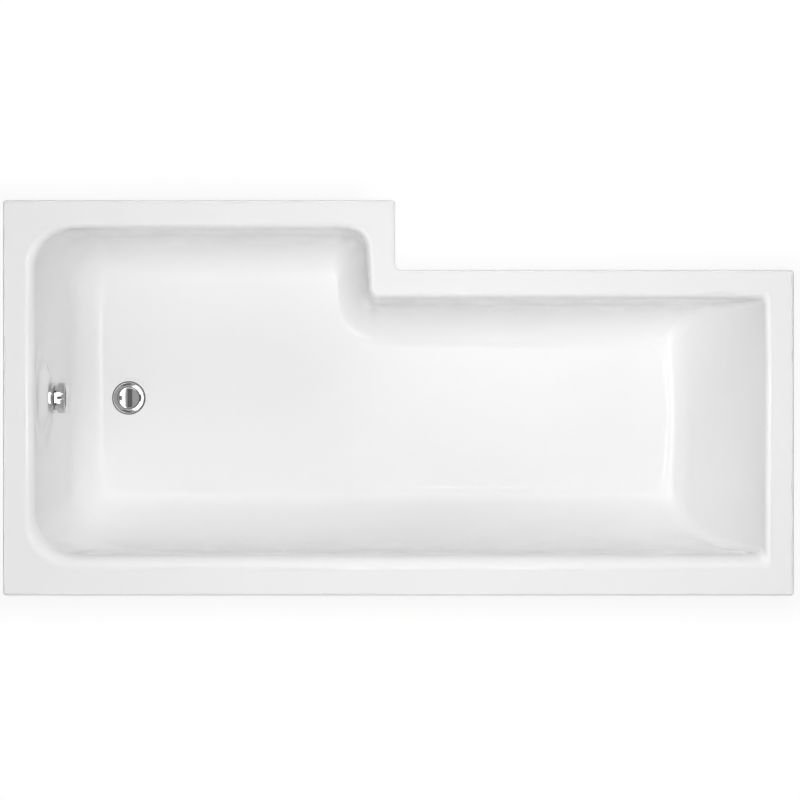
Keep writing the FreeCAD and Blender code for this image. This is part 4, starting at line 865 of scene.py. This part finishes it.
def mottled(slot, rough, mottle, scale, bump=0.1, metallic=0.0, cells=False, stretch=(1, 1, 1), name=None,
            grey=None):
    """A finish whose colour varies by a share, and its roughness between two values, over a pattern."""
    material = bpy.data.materials.new(name or slot)
    material.use_nodes = True
    nodes = material.node_tree.nodes
    link = material.node_tree.links.new
    shader = nodes["Principled BSDF"]
    shader.inputs["Metallic"].default_value = metallic
    place = nodes.new("ShaderNodeTexCoord")
    mapping = nodes.new("ShaderNodeMapping")
    mapping.inputs["Scale"].default_value = stretch
    link(place.outputs["Object"], mapping.inputs["Vector"])
    pattern = nodes.new("ShaderNodeTexVoronoi" if cells else "ShaderNodeTexNoise")
    pattern.inputs["Scale"].default_value = scale
    link(mapping.outputs["Vector"], pattern.inputs["Vector"])
    height = pattern.outputs["Color" if cells else "Fac"]
    ramp = nodes.new("ShaderNodeValToRGB")
    colour = (grey, grey, grey) if grey else record_colour[slot]
    for element, change in zip(ramp.color_ramp.elements, (1 - mottle, 1 + mottle)):
        element.color = [min(c * change, 1) for c in colour] + [1]
    link(height, ramp.inputs["Fac"])
    link(ramp.outputs["Color"], shader.inputs["Base Color"])
    spread = nodes.new("ShaderNodeMapRange")
    spread.inputs["To Min"].default_value, spread.inputs["To Max"].default_value = rough
    link(height, spread.inputs["Value"])
    link(spread.outputs["Result"], shader.inputs["Roughness"])
    relief = nodes.new("ShaderNodeBump")
    relief.inputs["Strength"].default_value = bump
    relief.inputs["Distance"].default_value = BUMP_HEIGHT
    link(height, relief.inputs["Height"])
    link(relief.outputs["Normal"], shader.inputs["Normal"])
    finishes[name or slot] = material
    return shader


print(f"{len(record_colour)} colours in the record")

# %% [markdown]
# ### Acrylic, chrome and what hides below
# Cast acrylic is smooth and glossy, with only a trace of the mould's waviness. Chrome is a mirror with
# faint wiping marks. Below the rim nothing is polished: fibre, chipboard, sawn wood and zinc all show grain.

# %% The finishes
ACRYLIC_IOR = 1.49

acrylic = mottled("acrylic", rough=(0.10, 0.16), mottle=0.006, scale=9, bump=0.0002, grey=0.88)
acrylic.inputs["IOR"].default_value = ACRYLIC_IOR
mottled("chrome", rough=(0.03, 0.08), mottle=0.03, scale=60, bump=0.003, metallic=1.0, grey=0.62)
mottled("glass_fibre", rough=(0.35, 0.7), mottle=0.18, scale=160, bump=0.5, stretch=(1, 0.25, 1))
mottled("chipboard", rough=(0.6, 0.85), mottle=0.28, scale=190, bump=0.2, cells=True, stretch=(1, 0.6, 1))
mottled("batten_wood", rough=(0.55, 0.75), mottle=0.22, scale=130, bump=0.25, stretch=(0.06, 1, 1))
mottled("batten_wood", rough=(0.55, 0.75), mottle=0.22, scale=130, bump=0.25, stretch=(1, 0.06, 1),
        name="batten_wood_across")
mottled("galvanised_steel", rough=(0.25, 0.5), mottle=0.14, scale=85, bump=0.03, metallic=1.0, cells=True)
mottled("zinc_plate", rough=(0.22, 0.36), mottle=0.08, scale=240, bump=0.03, metallic=1.0)
mottled("foot_plastic", rough=(0.42, 0.6), mottle=0.15, scale=420, bump=0.15)
mottled("rubber", rough=(0.65, 0.85), mottle=0.15, scale=500, bump=0.2)
mottled("fitting_plastic", rough=(0.3, 0.42), mottle=0.03, scale=300, bump=0.05)
mottled("lifter_brass", rough=(0.2, 0.38), mottle=0.1, scale=150, bump=0.03, metallic=1.0)
mottled("hose_plastic", rough=(0.34, 0.46), mottle=0.04, scale=220, bump=0.06)
mottled("cable_black", rough=(0.4, 0.55), mottle=0.2, scale=600, bump=0.1)
mottled("cable_steel", rough=(0.2, 0.4), mottle=0.25, scale=900, bump=0.3, metallic=1.0,
        stretch=(0.3, 1, 0.3))
print("finishes:", ", ".join(finishes))

# %% Put them on
for entry in frame["record"]["subparts"]:
    node = frame["nodes"][entry["node"]]
    low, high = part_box(entry["node"])
    finish = finishes[entry["material_slot"]]
    if entry["material_slot"] == "batten_wood" and high[1] - low[1] > high[0] - low[0]:
        finish = finishes["batten_wood_across"]
    for place in node.material_slots:
        place.material = finish
for piece, slot in new_pieces.values():
    piece.data.materials.append(finishes[slot])

# %% [markdown]
# ## The floor of the studio
# The photograph has a pure white ground, so the floor glows white to the camera and in reflections, with a
# little diffuse grey added to take the shadow. To all other light it is a plain pale floor. From below it is
# clear, so that the underside of the bath can be looked at.

# %% Floor
FLOOR_REACH = 12

bm = bmesh.new()
bmesh.ops.create_grid(bm, x_segments=1, y_segments=1, size=FLOOR_REACH)
studio_floor = as_object("studio_floor", bm)
print(f"floor of {2 * FLOOR_REACH} m a side")

# %% The floor's white ground
FLOOR_GLOW = 0.9
FLOOR_SHADE = (0.16, 0.16, 0.16, 1)
FLOOR_PLAIN = (0.8, 0.8, 0.8, 1)

ground = bpy.data.materials.new("white_ground")
ground.use_nodes = True
nodes = ground.node_tree.nodes
link = ground.node_tree.links.new
nodes.remove(nodes["Principled BSDF"])
rays = nodes.new("ShaderNodeLightPath")
seen = nodes.new("ShaderNodeMath")
seen.operation = "MAXIMUM"
link(rays.outputs["Is Camera Ray"], seen.inputs[0])
link(rays.outputs["Is Glossy Ray"], seen.inputs[1])
glow = nodes.new("ShaderNodeEmission")
glow.inputs["Strength"].default_value = FLOOR_GLOW
shade = nodes.new("ShaderNodeBsdfDiffuse")
shade.inputs["Color"].default_value = FLOOR_SHADE
both = nodes.new("ShaderNodeAddShader")
link(glow.outputs[0], both.inputs[0])
link(shade.outputs[0], both.inputs[1])
plain = nodes.new("ShaderNodeBsdfDiffuse")
plain.inputs["Color"].default_value = FLOOR_PLAIN
choice = nodes.new("ShaderNodeMixShader")
link(seen.outputs[0], choice.inputs["Fac"])
link(plain.outputs[0], choice.inputs[1])
link(both.outputs[0], choice.inputs[2])
below = nodes.new("ShaderNodeNewGeometry")
clear = nodes.new("ShaderNodeBsdfTransparent")
one_sided = nodes.new("ShaderNodeMixShader")
link(below.outputs["Backfacing"], one_sided.inputs["Fac"])
link(choice.outputs[0], one_sided.inputs[1])
link(clear.outputs[0], one_sided.inputs[2])
link(one_sided.outputs[0], nodes["Material Output"].inputs["Surface"])
studio_floor.data.materials.append(ground)
print(f"ground of {len(nodes)} nodes")

# %% [markdown]
# ## The room's light
# A photograph of chrome is a photograph of the room. Here the room is dim and grey in mirrors, white down by
# the horizon where the ground meets it, and dark in a strip straight overhead, where the camera hangs on its
# beam. Its far end, behind the backrest, is darker too. As light on the bath it is only a faint fill.

# %% World, and a helper for its nodes
world = bpy.data.worlds.new("studio")
bpy.context.scene.world = world
world.use_nodes = True
nodes = world.node_tree.nodes
link = world.node_tree.links.new
rays = nodes.new("ShaderNodeLightPath")
direction = nodes.new("ShaderNodeTexCoord")
parts = nodes.new("ShaderNodeSeparateXYZ")
link(direction.outputs["Generated"], parts.inputs[0])


def worked_out(operation, first, second):
    """A Math node on two sockets or numbers."""
    node = nodes.new("ShaderNodeMath")
    node.operation = operation
    for socket, value in zip(node.inputs, (first, second)):
        if isinstance(value, float):
            socket.default_value = value
        else:
            link(value, socket)
    return node.outputs[0]


print(f"world of {len(nodes)} nodes so far")

# %% The dark strip overhead and the dark end
ROOM_GREY = 0.5
BEAM_GREY = 0.17
BEAM_MIDDLE = 0.025
BEAM_HALF = 0.08
BEAM_FADE = 0.025
BEAM_LENGTH = 0.35
DARK_END = -0.6
DARK_END_SHARE = 0.8

off_beam = worked_out("ABSOLUTE", worked_out("SUBTRACT", parts.outputs["X"], BEAM_MIDDLE), 0.0)
off_middle = worked_out("ABSOLUTE", parts.outputs["Y"], 0.0)
along_beam = worked_out("LESS_THAN", off_middle, BEAM_LENGTH)
beam_edge = nodes.new("ShaderNodeMapRange")
beam_edge.inputs["From Min"].default_value = BEAM_HALF
beam_edge.inputs["From Max"].default_value = BEAM_HALF + BEAM_FADE
beam_edge.inputs["To Min"].default_value = 1.0
beam_edge.inputs["To Max"].default_value = 0.0
link(off_beam, beam_edge.inputs["Value"])
sky = nodes.new("ShaderNodeMapRange")
sky.inputs["To Min"].default_value = ROOM_GREY
sky.inputs["To Max"].default_value = BEAM_GREY
at_dark_end = worked_out("LESS_THAN", parts.outputs["X"], DARK_END)
dark_end = worked_out("MULTIPLY", at_dark_end, DARK_END_SHARE)
beam = worked_out("MULTIPLY", beam_edge.outputs["Result"], along_beam)
link(worked_out("MAXIMUM", beam, dark_end), sky.inputs["Value"])
print(f"room grey {ROOM_GREY}, down to {BEAM_GREY} in the strip")

# %% What the camera, mirrors and the bath get of it
FILL = 0.02
HORIZON = 0.12
WHITE = (1, 1, 1, 1)

low = worked_out("LESS_THAN", parts.outputs["Z"], HORIZON)
ground_in_mirror = worked_out("MULTIPLY", low, rays.outputs["Is Glossy Ray"])
white = worked_out("MAXIMUM", ground_in_mirror, rays.outputs["Is Camera Ray"])
fill = nodes["Background"]
fill.inputs["Color"].default_value = WHITE
fill.inputs["Strength"].default_value = FILL
mirrored = nodes.new("ShaderNodeBackground")
mirrored.inputs["Color"].default_value = WHITE
link(sky.outputs["Result"], mirrored.inputs["Strength"])
backdrop = nodes.new("ShaderNodeBackground")
backdrop.inputs["Color"].default_value = WHITE
in_mirror = nodes.new("ShaderNodeMixShader")
link(rays.outputs["Is Glossy Ray"], in_mirror.inputs["Fac"])
link(fill.outputs[0], in_mirror.inputs[1])
link(mirrored.outputs[0], in_mirror.inputs[2])
choice = nodes.new("ShaderNodeMixShader")
link(white, choice.inputs["Fac"])
link(in_mirror.outputs[0], choice.inputs[1])
link(backdrop.outputs[0], choice.inputs[2])
link(choice.outputs[0], nodes["World Output"].inputs["Surface"])
print(f"world of {len(nodes)} nodes, with a fill of {FILL}")

# %% [markdown]
# ## Lamps and reflection cards
# One soft lamp high over the bath gives most of the light, and weaker ones from the sides lift the walls.
# They are kept out of mirrors. Long cards do the opposite: they show only in mirrors, where they draw the
# bright lines along the coves and rolls and the white bands across the chrome.

# %% Lamps
LAMP_AIM = Vector((0, 0, 300 * MM))


def softbox(name, location, size, energy, aim=LAMP_AIM):
    """A rectangular lamp that faces a point in the bath."""
    data = bpy.data.lights.new(name, "AREA")
    data.shape = "RECTANGLE"
    data.size, data.size_y = size
    data.energy = energy
    lamp = bpy.data.objects.new(name, data)
    lamp.location = location
    lamp.rotation_euler = (aim - Vector(location)).to_track_quat("-Z", "Y").to_euler()
    lamp.visible_camera = False
    lamp.visible_glossy = False
    bpy.context.scene.collection.objects.link(lamp)
    return lamp


def card(name, location, size, radiance):
    """A white card that hangs level and shows only in mirrors."""
    energy = radiance * math.pi * size[0] * size[1]
    below = Vector((location[0], location[1], 0))
    board = softbox(name, location, size, energy, below)
    board.visible_glossy = True
    board.visible_diffuse = False


softbox("overhead_softbox", (-0.24, 0, 3.8), size=(0.8, 0.5), energy=87, aim=Vector((-0.24, 0, 0)))
softbox("waste_corner_softbox", (2.5, 2.2, 4.0), size=(2.6, 2.0), energy=34)
softbox("room_softbox", (0, -4.0, 3.3), size=(2.6, 2.0), energy=46)
card("waste_card", (2.85, 0, 6), size=(2.0, 10.2), radiance=3.0)
card("room_card", (0, -3.1, 6), size=(5, 0.8), radiance=2.4)
print(f"{len(bpy.data.lights)} lamps and cards")
